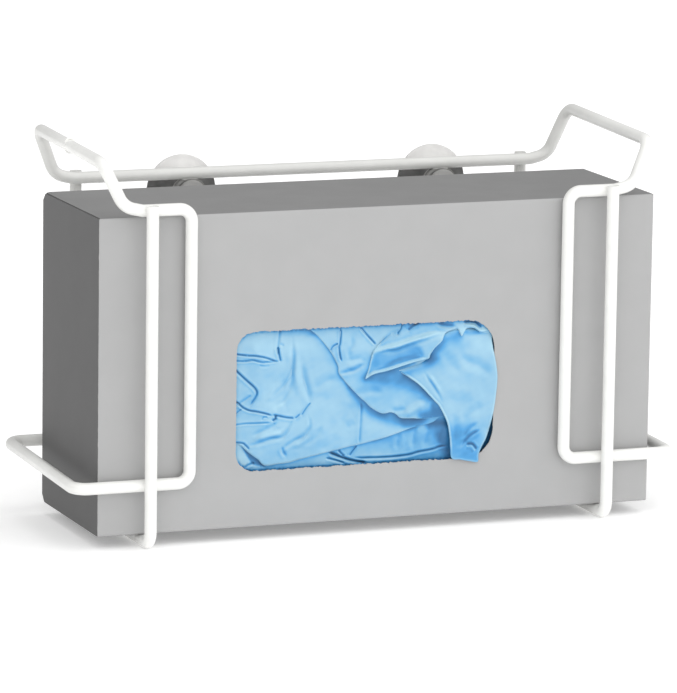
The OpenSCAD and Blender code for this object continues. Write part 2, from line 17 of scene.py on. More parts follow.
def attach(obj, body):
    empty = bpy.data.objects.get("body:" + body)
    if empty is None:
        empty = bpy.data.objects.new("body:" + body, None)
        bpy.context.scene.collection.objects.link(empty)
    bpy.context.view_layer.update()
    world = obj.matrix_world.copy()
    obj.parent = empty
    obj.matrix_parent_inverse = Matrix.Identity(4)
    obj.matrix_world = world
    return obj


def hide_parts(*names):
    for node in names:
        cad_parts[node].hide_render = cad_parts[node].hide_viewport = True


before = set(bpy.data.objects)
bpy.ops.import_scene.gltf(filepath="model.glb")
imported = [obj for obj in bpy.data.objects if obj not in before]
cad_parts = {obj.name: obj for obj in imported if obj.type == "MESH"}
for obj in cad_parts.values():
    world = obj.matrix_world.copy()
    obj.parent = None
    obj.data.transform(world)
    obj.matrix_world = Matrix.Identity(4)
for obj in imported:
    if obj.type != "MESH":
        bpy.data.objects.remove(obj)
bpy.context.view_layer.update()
MM = 0.001


def mm(*values):
    """A point or size in millimetres, as Blender's metres."""
    return Vector(values) * MM


# %% [markdown]
# ## Small helpers for modelling by hand
#
# Every operator works on what is selected, so a new piece starts with nothing selected,
# and faces, edges or points are then picked by their place or their direction.
# A finished piece gets its place put into its mesh, so that its object sits at the origin.


# %% Helpers: select and start
def deselect():
    """Leaves edit mode and deselects every object."""
    active = bpy.context.view_layer.objects.active
    if active and active.mode == "EDIT":
        bpy.ops.object.mode_set(mode="OBJECT")
    bpy.ops.object.select_all(action="DESELECT")


def select_only(piece):
    """Selects one piece, which becomes the active one."""
    deselect()
    piece.select_set(True)
    bpy.context.view_layer.objects.active = piece


def start(name, add, **settings):
    """Adds a primitive with nothing else selected, names it and puts its place in its mesh."""
    deselect()
    add(**settings)
    piece = bpy.context.object
    piece.name = piece.data.name = name
    bpy.ops.object.transform_apply(location=True, rotation=True, scale=True)
    return piece


def block(name, place, size):
    """A box, from its middle and its size in mm."""
    cube = bpy.ops.mesh.primitive_cube_add
    return start(name, cube, size=1, location=mm(*place), scale=mm(*size))


# %% Helpers: pick parts of a piece
def edit(piece):
    """Opens one piece in edit mode, to pick points, with nothing selected."""
    select_only(piece)
    bpy.ops.object.mode_set(mode="EDIT")
    bpy.ops.mesh.select_mode(type="VERT")
    bpy.ops.mesh.select_all(action="DESELECT")


def pick(piece, kind, wanted):
    """In edit mode, selects the points, edges or faces that wanted() says yes to."""
    mesh = bmesh.from_edit_mesh(piece.data)
    bpy.ops.mesh.select_mode(type={"verts": "VERT", "edges": "EDGE", "faces": "FACE"}[kind])
    bpy.ops.mesh.select_all(action="DESELECT")
    found = [item for item in getattr(mesh, kind) if wanted(item)]
    for item in found:
        item.select_set(True)
    mesh.select_flush_mode()
    bmesh.update_edit_mesh(piece.data)
    return len(found)


def middle(edge):
    """The middle of an edge."""
    return sum((v.co for v in edge.verts), Vector()) / len(edge.verts)


def runs_along(edge, axis):
    """Whether an edge runs along the x, y or z axis."""
    return abs(getattr((edge.verts[0].co - edge.verts[1].co).normalized(), axis)) > 0.9


def face_outward():
    """Turns all faces of the piece in edit mode outward, and leaves edit mode."""
    bpy.ops.mesh.select_all(action="SELECT")
    bpy.ops.mesh.normals_make_consistent(inside=False)
    bpy.ops.object.mode_set(mode="OBJECT")


# %% Helpers: join, smooth and finish
def apply_modifier(piece, kind, **settings):
    """Adds a modifier with its settings and applies it at once."""
    select_only(piece)
    modifier = piece.modifiers.new(kind.title(), kind)
    for key, value in settings.items():
        setattr(modifier, key, value)
    bpy.ops.object.modifier_apply(modifier=modifier.name)


def join(first, *others):
    """Joins pieces into the first one."""
    select_only(first)
    for piece in others:
        piece.select_set(True)
    bpy.ops.object.join()
    return first


def copy_of(piece, name, matrix):
    """A copy with its own mesh, moved by a matrix; a mirrored one is turned outwards again."""
    other = piece.copy()
    other.data = piece.data.copy()
    other.name = other.data.name = name
    bpy.context.scene.collection.objects.link(other)
    other.data.transform(matrix)
    if matrix.determinant() < 0:
        other.data.flip_normals()
    return other


def smooth(piece, degrees):
    """Shades a piece smooth, with sharp edges kept where faces meet at more than an angle."""
    select_only(piece)
    bpy.ops.object.shade_smooth_by_angle(angle=math.radians(degrees))


def finish_piece(piece, *materials, slot, replaces):
    """Gives a piece its finish, lets it ride on the body and hides the solids it stands for."""
    if materials:
        piece.data.materials.clear()
        for material in materials:
            piece.data.materials.append(material)
    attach(piece, "root")
    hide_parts(*replaces)
    print(f"{piece.name}: {len(piece.data.polygons)} faces")


# %% [markdown]
# ## Camera
#
# The camera stands about 2.2 m away with a long lens, to the left of the middle and a
# little above. Its axes are worked out from its yaw, pitch and roll, as on a tripod head.

# %% Camera
CAMERA_YAW, CAMERA_PITCH, CAMERA_ROLL = (math.radians(a) for a in (20.97, 10.419, 0.802))
CAMERA_PLACE = mm(-779.583, -2033.271, 469.411)
CAMERA_LENS, SENSOR_WIDTH = 277.472, 36

forward = Vector(
    (
        math.sin(CAMERA_YAW) * math.cos(CAMERA_PITCH),
        math.cos(CAMERA_YAW) * math.cos(CAMERA_PITCH),
        -math.sin(CAMERA_PITCH),
    )
)
level_right = Vector((math.cos(CAMERA_YAW), -math.sin(CAMERA_YAW), 0))
level_up = level_right.cross(forward)
camera_right = math.cos(CAMERA_ROLL) * level_right + math.sin(CAMERA_ROLL) * level_up
camera_up = -math.sin(CAMERA_ROLL) * level_right + math.cos(CAMERA_ROLL) * level_up

camera_data = bpy.data.cameras.new("camera")
camera_data.lens = CAMERA_LENS
camera_data.sensor_width = SENSOR_WIDTH
camera_data.clip_start, camera_data.clip_end = 0.1, 40
camera = bpy.data.objects.new("camera", camera_data)
bpy.context.scene.collection.objects.link(camera)
camera.matrix_world = Matrix.Translation(CAMERA_PLACE) @ Matrix(
    (camera_right, camera_up, -forward)
).transposed().to_4x4()
bpy.context.scene.camera = camera
print(f"camera: {CAMERA_LENS:.0f} mm lens, {CAMERA_PLACE.length:.2f} m away")

# %% [markdown]
# ## Colours and nodes
#
# Colours are written as the eye names them, in sRGB hex, and one function turns them into
# the linear numbers that a shader wants. One function adds a node with its settings and
# links, so that each material below reads as a short list.


# %% Helpers: colour and node
def paint(code):
    """An sRGB hex colour as linear red, green, blue and alpha."""
    channels = [int(code[i : i + 2], 16) / 255 for i in (1, 3, 5)]
    linear = [c / 12.92 if c <= 0.04045 else ((c + 0.055) / 1.055) ** 2.4 for c in channels]
    return (*linear, 1.0)


def add_node(material, kind, settings=None, inputs=None):
    """Adds a node: settings are its own properties, inputs are values or other nodes' outputs."""
    tree = material.node_tree
    node = tree.nodes.new(kind)
    for key, value in (settings or {}).items():
        setattr(node, key, value)
    for key, value in (inputs or {}).items():
        if isinstance(value, bpy.types.NodeSocket):
            tree.links.new(value, node.inputs[key])
        else:
            node.inputs[key].default_value = value
    return node


def new_material(name, **shader_inputs):
    """A material with its shader, whose sockets take the given values."""
    material = bpy.data.materials.new(name)
    material.use_nodes = True
    shader = material.node_tree.nodes["Principled BSDF"]
    for key, value in shader_inputs.items():
        shader.inputs[key.replace("_", " ")].default_value = value
    print(f"finish: {name}")
    return material, shader


def wire_up(material, shader, **links):
    """Links outputs to the shader's sockets."""
    for key, output in links.items():
        material.node_tree.links.new(output, shader.inputs[key.replace("_", " ")])


# %% Helpers: colour and texture nodes
def ramp(material, factor, stops):
    """A colour ramp through (place, hex colour) stops."""
    node = add_node(material, "ShaderNodeValToRGB", inputs={"Fac": factor})
    while len(node.color_ramp.elements) < len(stops):
        node.color_ramp.elements.new(0.5)
    for element, (place, code) in zip(node.color_ramp.elements, stops):
        element.position = place
        element.color = paint(code)
    return node.outputs["Color"]


def object_place(material):
    """The surface's own place in metres, which stays put when the camera moves."""
    return add_node(material, "ShaderNodeTexCoord").outputs["Object"]


def coordinates(material):
    """The outputs X, Y and Z of that place."""
    inputs = {"Vector": object_place(material)}
    return add_node(material, "ShaderNodeSeparateXYZ", inputs=inputs).outputs


def noise(material, size_mm, detail):
    """Noise whose lumps are about size_mm across."""
    inputs = {"Vector": object_place(material), "Scale": 1000 / size_mm, "Detail": detail}
    return add_node(material, "ShaderNodeTexNoise", inputs=inputs).outputs["Fac"]


def calculate(material, operation, *values):
    """One step of arithmetic on values or other nodes' outputs."""
    inputs = dict(enumerate(values))
    return add_node(material, "ShaderNodeMath", {"operation": operation}, inputs).outputs[0]


def remap(material, value, low, high, top=1.0):
    """Carries a value from low..high to 0..top, and holds it beyond both ends."""
    inputs = {"Value": value, "From Min": low, "From Max": high, "To Max": top}
    return add_node(material, "ShaderNodeMapRange", inputs=inputs).outputs["Result"]


def bump(material, height, depth_mm, under=None):
    """A bump whose full height is depth_mm."""
    inputs = {"Height": height, "Distance": depth_mm * MM}
    if under is not None:
        inputs["Normal"] = under
    return add_node(material, "ShaderNodeBump", inputs=inputs).outputs["Normal"]


def blend(material, factor, first, second, mode="MIX"):
    """Mixes two colours, which go into the Mix node's sockets 6 and 7 and come out at 2."""
    settings = {"data_type": "RGBA", "blend_type": mode}
    inputs = {0: factor, 6: first, 7: second}
    return add_node(material, "ShaderNodeMix", settings, inputs).outputs[2]


# %% [markdown]
# ## Floor and light
#
# A pale floor runs far behind the object, so that it fills the picture. The light is
# plain and soft: one wide sun high in front, a little to the right, and an even surround.

# %% Floor and light
FLOOR_SIZE, FLOOR_BEHIND = 16.0, 3.0  # metres
FLOOR_Z = -0.0002  # just under the rails
SUN_AZIMUTH, SUN_RISE, SUN_SPREAD = (math.radians(a) for a in (22, 40, 125))
SUN_STRENGTH, SURROUND_STRENGTH = 2.3, 0.55

floor = start(
    "floor",
    bpy.ops.mesh.primitive_plane_add,
    size=FLOOR_SIZE,
    location=(0, FLOOR_BEHIND, FLOOR_Z),
)
floor_material, _ = new_material(
    "matte white studio paper",
    Base_Color=paint("#FDFDFD"),
    Roughness=0.9,
    Emission_Color=paint("#FFFFFF"),
    Emission_Strength=0.2,
)
floor.data.materials.append(floor_material)

sun_data = bpy.data.lights.new("key light", "SUN")
sun_data.energy, sun_data.angle = SUN_STRENGTH, SUN_SPREAD
toward_sun = Vector(
    (
        math.sin(SUN_AZIMUTH) * math.cos(SUN_RISE),
        -math.cos(SUN_AZIMUTH) * math.cos(SUN_RISE),
        math.sin(SUN_RISE),
    )
)
sun = bpy.data.objects.new("key light", sun_data)
bpy.context.scene.collection.objects.link(sun)
sun.location = toward_sun * 3
sun.rotation_euler = toward_sun.to_track_quat("Z", "Y").to_euler()

world = bpy.data.worlds.new("even white surround")
world.use_nodes = True
background = world.node_tree.nodes["Background"]
background.inputs["Color"].default_value = paint("#FFFFFF")
background.inputs["Strength"].default_value = SURROUND_STRENGTH
bpy.context.scene.world = world
bpy.context.scene.view_settings.view_transform = "Standard"

# %% [markdown]
# ## Finish of the wire: white epoxy powder coat on steel
#
# Powder is blown on dry and baked, so the film is thick and glossy, with the faint rolling "orange
# peel" of a melt that set before it was quite level. Toward the back of the rack the coat is
# painted a little greyer, as painted shade.

# %% Material: white powder-coated steel
PAINTED_SHADE_BEHIND = 45  # mm behind the middle, where the painted shade on the coat is full
white_coat, shader = new_material(
    "white epoxy powder coat on steel",
    Roughness=0.3,
    IOR=1.5,
    Coat_Weight=0.25,
    Coat_Roughness=0.12,
)
peel = noise(white_coat, 1.6, detail=1.0)
grain = noise(white_coat, 9.0, detail=2.0)
# painted shade: the coat is painted greyer toward the back of the rack
painted_back_shade = remap(white_coat, coordinates(white_coat)["Y"], 0, PAINTED_SHADE_BEHIND * MM)
near_coat = ramp(white_coat, grain, [(0.3, "#ECECE9"), (0.7, "#F2F2EF")])
painted_shade_coat = ramp(white_coat, grain, [(0.3, "#D0D0CD"), (0.7, "#D6D6D3")])
wire_up(
    white_coat,
    shader,
    Base_Color=blend(white_coat, painted_back_shade, near_coat, painted_shade_coat),
    Normal=bump(white_coat, peel, 0.02),
)

# %% [markdown]
# ## The wires
#
# A real wire runs straight, then bends round a roller of a set radius. The same thing is
# done here: a ring of points is extruded along each straight and spun round the centre of
# each bend. The spin operator turns left-handed about its axis, so the axis is reversed.

# %% Sizes of the wires, in millimetres
WIRE_R = 2.5
RING_POINTS, BEND_STEPS = 40, 14
END_ROUND, END_STEPS = 1.5, 6

BRACKET_BEND, EAR_BEND, FOOT_BEND = 5.2, 6.0, 8.0
CROSS_GAP = 4.3  # between the middles of two crossing wires, which are pressed together
BRACKET_X, CRADLE_X, KICK_X, FOOT_X, EAR_X, SIDE_X = 81.75, 99.65, 102.35, 110.35, 118.35, 130.0
CRADLE_FRONT_Y, FRONT_Y, BACK_Y, CRADLE_BACK_Y = -51.4, -47.1, 43.1, 47.4
RAIL_Z, LOW_Z, LOW_BACK_Z, TOP_Z, FOOT_Z = 2.5, 25.9, 28.1, 137.5, 139.3
EAR_FRONT, EAR_BACK = (-44.2, 156.7), (40.2, 159.2)  # (y, z) of each ear's two bends
LEG_TOP_Z = 141.4


# %% Drawing a wire through its corners
def bent_wire(name, corners, closed):
    """Sweeps a ring through corners, each (point in mm, bend radius in mm)."""
    points = [Vector(p) * MM for p, _ in corners]
    bends = [b * MM for _, b in corners]
    count = len(points)

    def corner(i):
        """Start, end, centre, axis and angle of the bend at a corner."""
        before, here, after = points[i - 1], points[i], points[(i + 1) % count]
        back, ahead = (before - here).normalized(), (after - here).normalized()
        turn = math.pi - back.angle(ahead)
        reach = bends[i] * math.tan(turn / 2)
        centre = here + (back + ahead).normalized() * bends[i] / math.cos(turn / 2)
        axis = (-back).cross(ahead).normalized()
        return here + back * reach, here + ahead * reach, centre, axis, turn

    if closed:
        begin = corner(0)[1]
        stops = list(range(1, count)) + [0]
    else:
        begin = points[0]
        stops = list(range(1, count - 1))
    facing = (points[1] - begin).normalized()
    piece = start(
        name,
        bpy.ops.mesh.primitive_circle_add,
        vertices=RING_POINTS,
        radius=WIRE_R * MM,
        location=begin,
        rotation=facing.to_track_quat("Z", "Y").to_euler(),
    )
    edit(piece)
    bpy.ops.mesh.select_all(action="SELECT")
    at = begin
    for i in stops:
        bend_start, bend_end, centre, axis, turn = corner(i)
        bpy.ops.mesh.extrude_region_move(TRANSFORM_OT_translate={"value": bend_start - at})
        bpy.ops.mesh.spin(steps=BEND_STEPS, angle=turn, center=centre, axis=-axis)
        at = bend_end
    if not closed:
        bpy.ops.mesh.extrude_region_move(TRANSFORM_OT_translate={"value": points[-1] - at})
    bpy.ops.mesh.select_all(action="SELECT")
    bpy.ops.mesh.remove_doubles(threshold=0.00001)
    if not closed:
        round_ends(piece)
    face_outward()
    smooth(piece, 50)
    print(f"{name}: {len(stops)} bends")
    return piece


# %% Rounding both ends of an open wire
def round_ends(piece):
    """Closes both open ends of a wire and rounds them over, as melted coating does."""
    pick(piece, "edges", lambda e: e.is_boundary)
    bpy.ops.mesh.edge_face_add()
    caps = pick(piece, "faces", lambda f: len(f.verts) == RING_POINTS)
    assert caps == 2
    for k in range(END_STEPS):
        a, b = math.pi / 2 * k / END_STEPS, math.pi / 2 * (k + 1) / END_STEPS
        bpy.ops.mesh.inset(
            thickness=END_ROUND * (math.cos(a) - math.cos(b)) * MM,
            depth=END_ROUND * (math.sin(b) - math.sin(a)) * MM,
            use_even_offset=False,
        )


# %% The loop and the two cradle wires
right_half = [
    ((KICK_X, BACK_Y, TOP_Z), FOOT_BEND),
    ((FOOT_X, BACK_Y, FOOT_Z), FOOT_BEND),
    ((EAR_X, *EAR_BACK), EAR_BEND),
    ((EAR_X, *EAR_FRONT), EAR_BEND),
    ((FOOT_X, FRONT_Y, FOOT_Z), FOOT_BEND),
    ((KICK_X, FRONT_Y, TOP_Z), FOOT_BEND),
    ((BRACKET_X, FRONT_Y, TOP_Z), BRACKET_BEND),
    ((BRACKET_X, FRONT_Y, LOW_Z), BRACKET_BEND),
    ((SIDE_X, FRONT_Y, LOW_Z), EAR_BEND),
    ((SIDE_X, BACK_Y, LOW_BACK_Z), EAR_BEND),
]
left_half = [((-x, y, z), bend) for (x, y, z), bend in reversed(right_half)]
loop = bent_wire("perimeter_loop", right_half + left_half, closed=True)

cradles = {}
for side, name in ((-1, "left_cradle"), (1, "right_cradle")):
    x = side * CRADLE_X
    route = [
        ((x, CRADLE_FRONT_Y, LEG_TOP_Z - END_ROUND), 0),
        ((x, CRADLE_FRONT_Y, RAIL_Z), BRACKET_BEND),
        ((x, CRADLE_BACK_Y, RAIL_Z), BRACKET_BEND),
        ((x, CRADLE_BACK_Y, LEG_TOP_Z - END_ROUND), 0),
    ]
    cradles[side] = bent_wire(name, route, closed=False)

# %% [markdown]
# ## Welds
#
# Where two wires cross they are pressed together and fused, and the coating runs into the
# corner round the joint and rounds it off. Two short bars are fused into one skin with the
# Remesh modifier and then relaxed: hollow corners fill up and the rest shrinks out of sight.


# %% Coated corner round a weld
WELD_VOXEL, WELD_RELAX = 0.32, 10
UNDER_COAT = 0.05  # how much thinner than its wire a bar is, so that it hides inside it
BAR, BAR_TOP = 3.6, 2.2  # how far the bars reach from the crossing, and up to a leg's end


def coated_corner(name, bars):
    """Bars are (start, end, radius) in mm. Their fused, relaxed skin shows only in the corners."""
    pieces = []
    for a, b, radius in bars:
        a, b = Vector(a) * MM, Vector(b) * MM
        pieces.append(
            start(
                name,
                bpy.ops.mesh.primitive_cylinder_add,
                vertices=32,
                radius=(radius - UNDER_COAT) * MM,
                depth=(b - a).length,
                location=(a + b) / 2,
                rotation=(b - a).to_track_quat("Z", "Y").to_euler(),
            )
        )
    piece = join(pieces[0], *pieces[1:])
    apply_modifier(piece, "REMESH", mode="VOXEL", voxel_size=WELD_VOXEL * MM, use_smooth_shade=True)
    apply_modifier(piece, "SMOOTH", factor=0.5, iterations=WELD_RELAX)
    return piece


crossing = coated_corner(
    "weld",
    [
        ((-BAR, 0, 0), (BAR, 0, 0), WIRE_R),
        ((0, -CROSS_GAP, -BAR), (0, -CROSS_GAP, BAR_TOP), WIRE_R),
    ],
)
turned = Matrix.Diagonal((1, -1, 1, 1))
welds = {-1: [], 1: []}
for side in (-1, 1):
    for y, z, behind in (
        (FRONT_Y, TOP_Z, False),
        (FRONT_Y, LOW_Z, False),
        (BACK_Y, TOP_Z, True),
        (BACK_Y, LOW_BACK_Z, True),
    ):
        place = Matrix.Translation(mm(side * CRADLE_X, y, z))
        welds[side].append(copy_of(crossing, "weld", place @ turned if behind else place))
bpy.data.objects.remove(crossing)
print(f"welds: {len(welds[-1])} at the left, {len(welds[1])} at the right")

# %% [markdown]
# ## The butt weld that closes the loop
#
# The loop is bent from one length of wire, and its two ends are upset together in the
# middle of the left ear. That squeezes out a small flash, most of it above and below,
# and the coating covers what the grinder left.

# %% Flash of the butt weld
FLASH_R, FLASH_DEEP = 0.42, 0.25  # the flash's own radius, and how far it is sunk in the wire
FLASH_RISE = {1: 0.75, -1: 0.6}  # what the squeeze adds above and below
FLASH_REACH = 1.2
flash_middle = (
    Vector((-EAR_X, (EAR_FRONT[0] + EAR_BACK[0]) / 2, (EAR_FRONT[1] + EAR_BACK[1]) / 2)) * MM
)
flash_along = Vector((0, EAR_BACK[0] - EAR_FRONT[0], EAR_BACK[1] - EAR_FRONT[1])).normalized()
flash = start(
    "butt_weld_flash",
    bpy.ops.mesh.primitive_torus_add,
    major_radius=(WIRE_R - FLASH_DEEP) * MM,
    minor_radius=FLASH_R * MM,
    major_segments=48,
    minor_segments=14,
    location=flash_middle,
    rotation=flash_along.to_track_quat("Z", "X").to_euler(),
)
edit(flash)
for up, rise in FLASH_RISE.items():
    pick(flash, "verts", lambda v: (v.co.z - flash_middle.z) * up > 1.9 * MM)
    bpy.ops.transform.translate(
        value=mm(0, 0, up * rise),
        use_proportional_edit=True,
        proportional_size=FLASH_REACH * MM,
        proportional_edit_falloff="SMOOTH",
    )
bpy.ops.object.mode_set(mode="OBJECT")
smooth(flash, 60)

loop = join(loop, flash)
finish_piece(loop, white_coat, slot="coated_wire", replaces=["perimeter_wire"])
for side, node in ((-1, "left_cradle_wire"), (1, "right_cradle_wire")):
    whole = join(cradles[side], *welds[side])
    finish_piece(whole, white_coat, slot="coated_wire", replaces=[node])

# %% [markdown]
# ## The cup eyes
#
# Each suction cup buttons into a ring of thinner wire that hangs under the top back rail.
# The ring is a torus, and its weld to the rail is made like the crossings. The ring is painted a
# dull grey, as painted shade under the rail.

# %% Cup eyes
CUP_X, CUP_Z = {-1: -51.4, 1: 61.0}, 128.8
EYE_R, EYE_WIRE_R = 6.0, 1.5
WELD_TURNS = (-0.55, -0.28, 0, 0.28, 0.55)  # radians from the eye's top, along its weld
WELD_HALF = 4
# The eye ring's dull grey is painted shade from the rail above it.
eye_wire_painted_shade, shader = new_material("eye wire painted grey for shade", Roughness=0.5, Metallic=0.3)
streak = noise(eye_wire_painted_shade, 2.5, detail=3.0)
eye_painted_shade_colour = ramp(eye_wire_painted_shade, streak, [(0.3, "#737371"), (0.7, "#8B8B88")])
wire_up(eye_wire_painted_shade, shader, Base_Color=eye_painted_shade_colour)
for side, name in ((-1, "left"), (1, "right")):
    eye = start(
        f"{name}_eye",
        bpy.ops.mesh.primitive_torus_add,
        major_radius=EYE_R * MM,
        minor_radius=EYE_WIRE_R * MM,
        major_segments=72,
        minor_segments=28,
        location=mm(CUP_X[side], BACK_Y, CUP_Z),
        rotation=(math.pi / 2, 0, 0),
    )
    smooth(eye, 60)
    arc = [
        (CUP_X[side] + EYE_R * math.sin(a), BACK_Y, CUP_Z + EYE_R * math.cos(a))
        for a in WELD_TURNS
    ]
    bars = [(here, there, EYE_WIRE_R) for here, there in zip(arc, arc[1:])]
    rail = [(CUP_X[side] + reach, BACK_Y, TOP_Z) for reach in (-WELD_HALF, WELD_HALF)]
    bars.append((*rail, WIRE_R))
    weld = coated_corner("eye_weld", bars)
    eye.data.materials.append(eye_wire_painted_shade)
    weld.data.materials.append(white_coat)
    finish_piece(join(eye, weld), slot="coated_wire", replaces=[f"{name}_cup_eye"])

# %% [markdown]
# ## The suction cups
#
# A suction cup is turned round one axis: a dished bell with a soft rim, a neck that snaps
# through the wire eye and a button head. Half its section is drawn as a chain of points,
# and the Spin operator turns it round.


# %% Lathe
LATHE_STEPS = 96


def lathe(name, section, place):
    """Turns a section of (radius, distance in front of the wall), in mm, round a line along Y."""
    piece = start(name, bpy.ops.mesh.primitive_plane_add, size=0.001)
    edit(piece)
    bpy.ops.mesh.select_all(action="SELECT")
    bpy.ops.mesh.merge(type="CENTER")
    centre = Vector(place) * MM
    at = Vector((0, 0, 0))
    for k, (radius, out) in enumerate(section):
        point = centre + mm(radius, -out, 0)
        if k == 0:
            bpy.ops.transform.translate(value=point - at)
        else:
            bpy.ops.mesh.extrude_vertices_move(TRANSFORM_OT_translate={"value": point - at})
        at = point
    bpy.ops.mesh.select_all(action="SELECT")
    bpy.ops.mesh.spin(steps=LATHE_STEPS, angle=2 * math.pi, center=centre, axis=(0, 1, 0))
    bpy.ops.mesh.select_all(action="SELECT")
    bpy.ops.mesh.remove_doubles(threshold=0.00002)
    face_outward()
    smooth(piece, 35)
    return piece


# %% [markdown]
# ### Finish of the cups: clear soft vinyl
#
# Plasticised vinyl is clear with a grey milkiness and bends light like glass of index 1.53. Below
# the rail each cup carries painted shade, and the front of each bell gets a darker painted shade in
# a material of its own.

# %% Material: clear vinyl
PALE_FROM, PALE_BY = 134.5, 138  # heights between which the bell clears the rail's shade


def vinyl(name, painted_shade_colours):
    """Milky clear vinyl, with painted shade in the given two colours below the rail and pale above
    it.
    """
    material, shader = new_material(
        name,
        Roughness=0.4,
        IOR=1.53,
        Transmission_Weight=0.35,
        Coat_Weight=0.15,
        Coat_Roughness=0.2,
    )
    out_of_painted_shade = remap(material, coordinates(material)["Z"], PALE_FROM * MM, PALE_BY * MM)
    cloud = noise(material, 5.0, detail=2.0)
    pale = ramp(material, cloud, [(0.3, "#E3E2E0"), (0.75, "#EDECEA")])
    low = ramp(material, cloud, [(0.35, painted_shade_colours[0]), (0.7, painted_shade_colours[1])])
    wire_up(
        material,
        shader,
        Base_Color=blend(material, out_of_painted_shade, low, pale),
        Normal=bump(material, noise(material, 2.5, detail=1.0), 0.03),
    )
    return material


# Both vinyls carry painted shade below the rail: light on the clear one, dark on the bells' front
# faces.
clear_vinyl = vinyl("clear plasticised vinyl", ("#9D9C9A", "#ACABA9"))
shaded_vinyl = vinyl("clear vinyl with dark painted shade", ("#464645", "#5E5E5D"))

# %% Section of a cup
RIM_Y = 53.9
NECK_R = 6.5


def dish(radius):
    """Depth of the hollow under the bell."""
    hollow_r, hollow_d = 13.7, 4.4
    sphere = (hollow_r**2 + hollow_d**2) / (2 * hollow_d)
    return hollow_d - sphere + math.sqrt(max(sphere**2 - radius**2, 0))


# each point is (radius, distance in front of the wall)
hollow = [(0, dish(0))] + [(r, dish(r)) for r in (2.5, 5, 7.5, 9.8, 11.6, 12.9, 13.6)]
rim = [(13.7, 0.0), (15.05, 0.0), (15.2, 0.25), (15.2, 0.75), (14.95, 1.15), (14.6, 1.32)]
bell_outside = [(14.2, 1.45), (13.2, 2.05), (12.0, 2.85), (10.6, 3.9), (9.0, 5.05)]
bell_outside += [(7.6, 6.1), (6.6, 7.3), (6.1, 8.2), (5.6, 8.72)]
neck = [(4.75, 8.9), (4.25, 9.05), (4.2, 10.8), (4.2, 12.45), (4.4, 12.62)]
BUTTON_R, BUTTON_MIDDLE, BUTTON_STEPS = 1.55, (4.75, 14.2), 8
button = []
for k in range(BUTTON_STEPS + 1):
    turn = math.radians(-90 + 160 * k / BUTTON_STEPS)
    button.append(
        (
            BUTTON_MIDDLE[0] + BUTTON_R * math.cos(turn),
            BUTTON_MIDDLE[1] + BUTTON_R * math.sin(turn),
        )
    )
button += [(4.2, 16.1), (2.8, 16.55), (1.4, 16.75), (1.1, 16.78), (0.95, 16.6), (0, 16.6)]
cup_section = hollow + rim + bell_outside + neck + button
print(f"cup section: {len(cup_section)} points")

# %% Suction cups
for side, name in ((-1, "left"), (1, "right")):
    cup = lathe(f"{name}_cup", cup_section, (CUP_X[side], RIM_Y, CUP_Z))
    for material in (clear_vinyl, shaded_vinyl):
        cup.data.materials.append(material)
    for face in cup.data.polygons:
        off_axis = math.hypot(face.center.x / MM - CUP_X[side], face.center.z / MM - CUP_Z)
        faces_front = face.normal.y < -0.15
        # the bells' front faces take the darker painted shade
        face.material_index = int(faces_front and off_axis > NECK_R)
    finish_piece(cup, slot="clear_vinyl", replaces=[f"{name}_suction_cup"])

# %% [markdown]
# ## The carton
#
# The carton is folded from one sheet of board 0.6 mm thick, printed one grey outside and left bare
# inside; its top and ends are painted darker than its front, as painted shade. It starts as a cube,
# loses its ends, has its four long folds rounded, gets its wall from Solidify and its window from a
# Boolean cut.

# %% Sizes of the carton, in millimetres
BOARD = 0.6
FOLD_R = 1.1
CARTON_LOW = Vector((-119.7, -44.0, 5.1))
CARTON_HIGH = Vector((121.3, 29.0, 134.6))
CARTON_SIZE = CARTON_HIGH - CARTON_LOW
CARTON_MIDDLE = (CARTON_LOW + CARTON_HIGH) / 2
WINDOW_X, WINDOW_Z = -4.8, 56.9
WINDOW_W, WINDOW_H = 112.4, 57.5
WINDOW_LEFT_R, WINDOW_RIGHT_R = 8.0, 12.0
NIB, NIB_PITCH, TEAR_STEP = 0.3, 1.15, 0.36
FLAP_MARGIN, FLAP_ROUND = 0.3, 0.55
CRUSH = 3.0  # the two back corners at the left are knocked in
CUT_REACH = 2  # how far the window's cutter stands off the board, on each side
print("carton:", [round(v, 1) for v in CARTON_SIZE])

# %% [markdown]
# ### Finish of the carton: printed folding board
#
# Folding board is pressed from paper fibre, coated smooth with clay and printed in a flat
# spot colour under a matt varnish. The eye sees an even field with a barely cloudy ink, a
# fine tooth in the light, and paler fibre where the coating cracks along a fold.


# %% Material: printed folding board
FOLD_REACH = 0.9  # mm from a fold over which the ink can be rubbed
FIBRE_COLOUR = "#D9D7D2"


def printed_board(name, ink, deep):
    """Flat ink on coated board, a little cloudy, with rubbed folds."""
    material, shader = new_material(name, Roughness=0.62, IOR=1.48)
    place = coordinates(material)
    colour = ramp(material, noise(material, 14.0, detail=3.0), [(0.35, deep), (0.65, ink)])
    # 1 at a face of the carton, falling to 0 inside it, along each axis
    near = []
    for axis, low, high in zip("XYZ", CARTON_LOW, CARTON_HIGH):
        offset = calculate(material, "SUBTRACT", place[axis], (low + high) / 2 * MM)
        half = (high - low) / 2 * MM
        distance = calculate(material, "ABSOLUTE", offset)
        near.append(remap(material, distance, half - FOLD_REACH * MM, half))
    # a point lies on a fold where it is near two faces at once
    pairs = [calculate(material, "MULTIPLY", near[i], near[j]) for i, j in ((0, 1), (1, 2), (0, 2))]
    fold = calculate(material, "MAXIMUM", calculate(material, "MAXIMUM", *pairs[:2]), pairs[2])
    rub = calculate(material, "MULTIPLY", fold, noise(material, 3.0, detail=4.0))
    rubbed = remap(material, rub, 0.3, 0.62, top=0.4)
    wire_up(
        material,
        shader,
        Base_Color=blend(material, rubbed, colour, paint(FIBRE_COLOUR)),
        Normal=bump(material, noise(material, 0.5, detail=3.0), 0.012),
    )
    return material


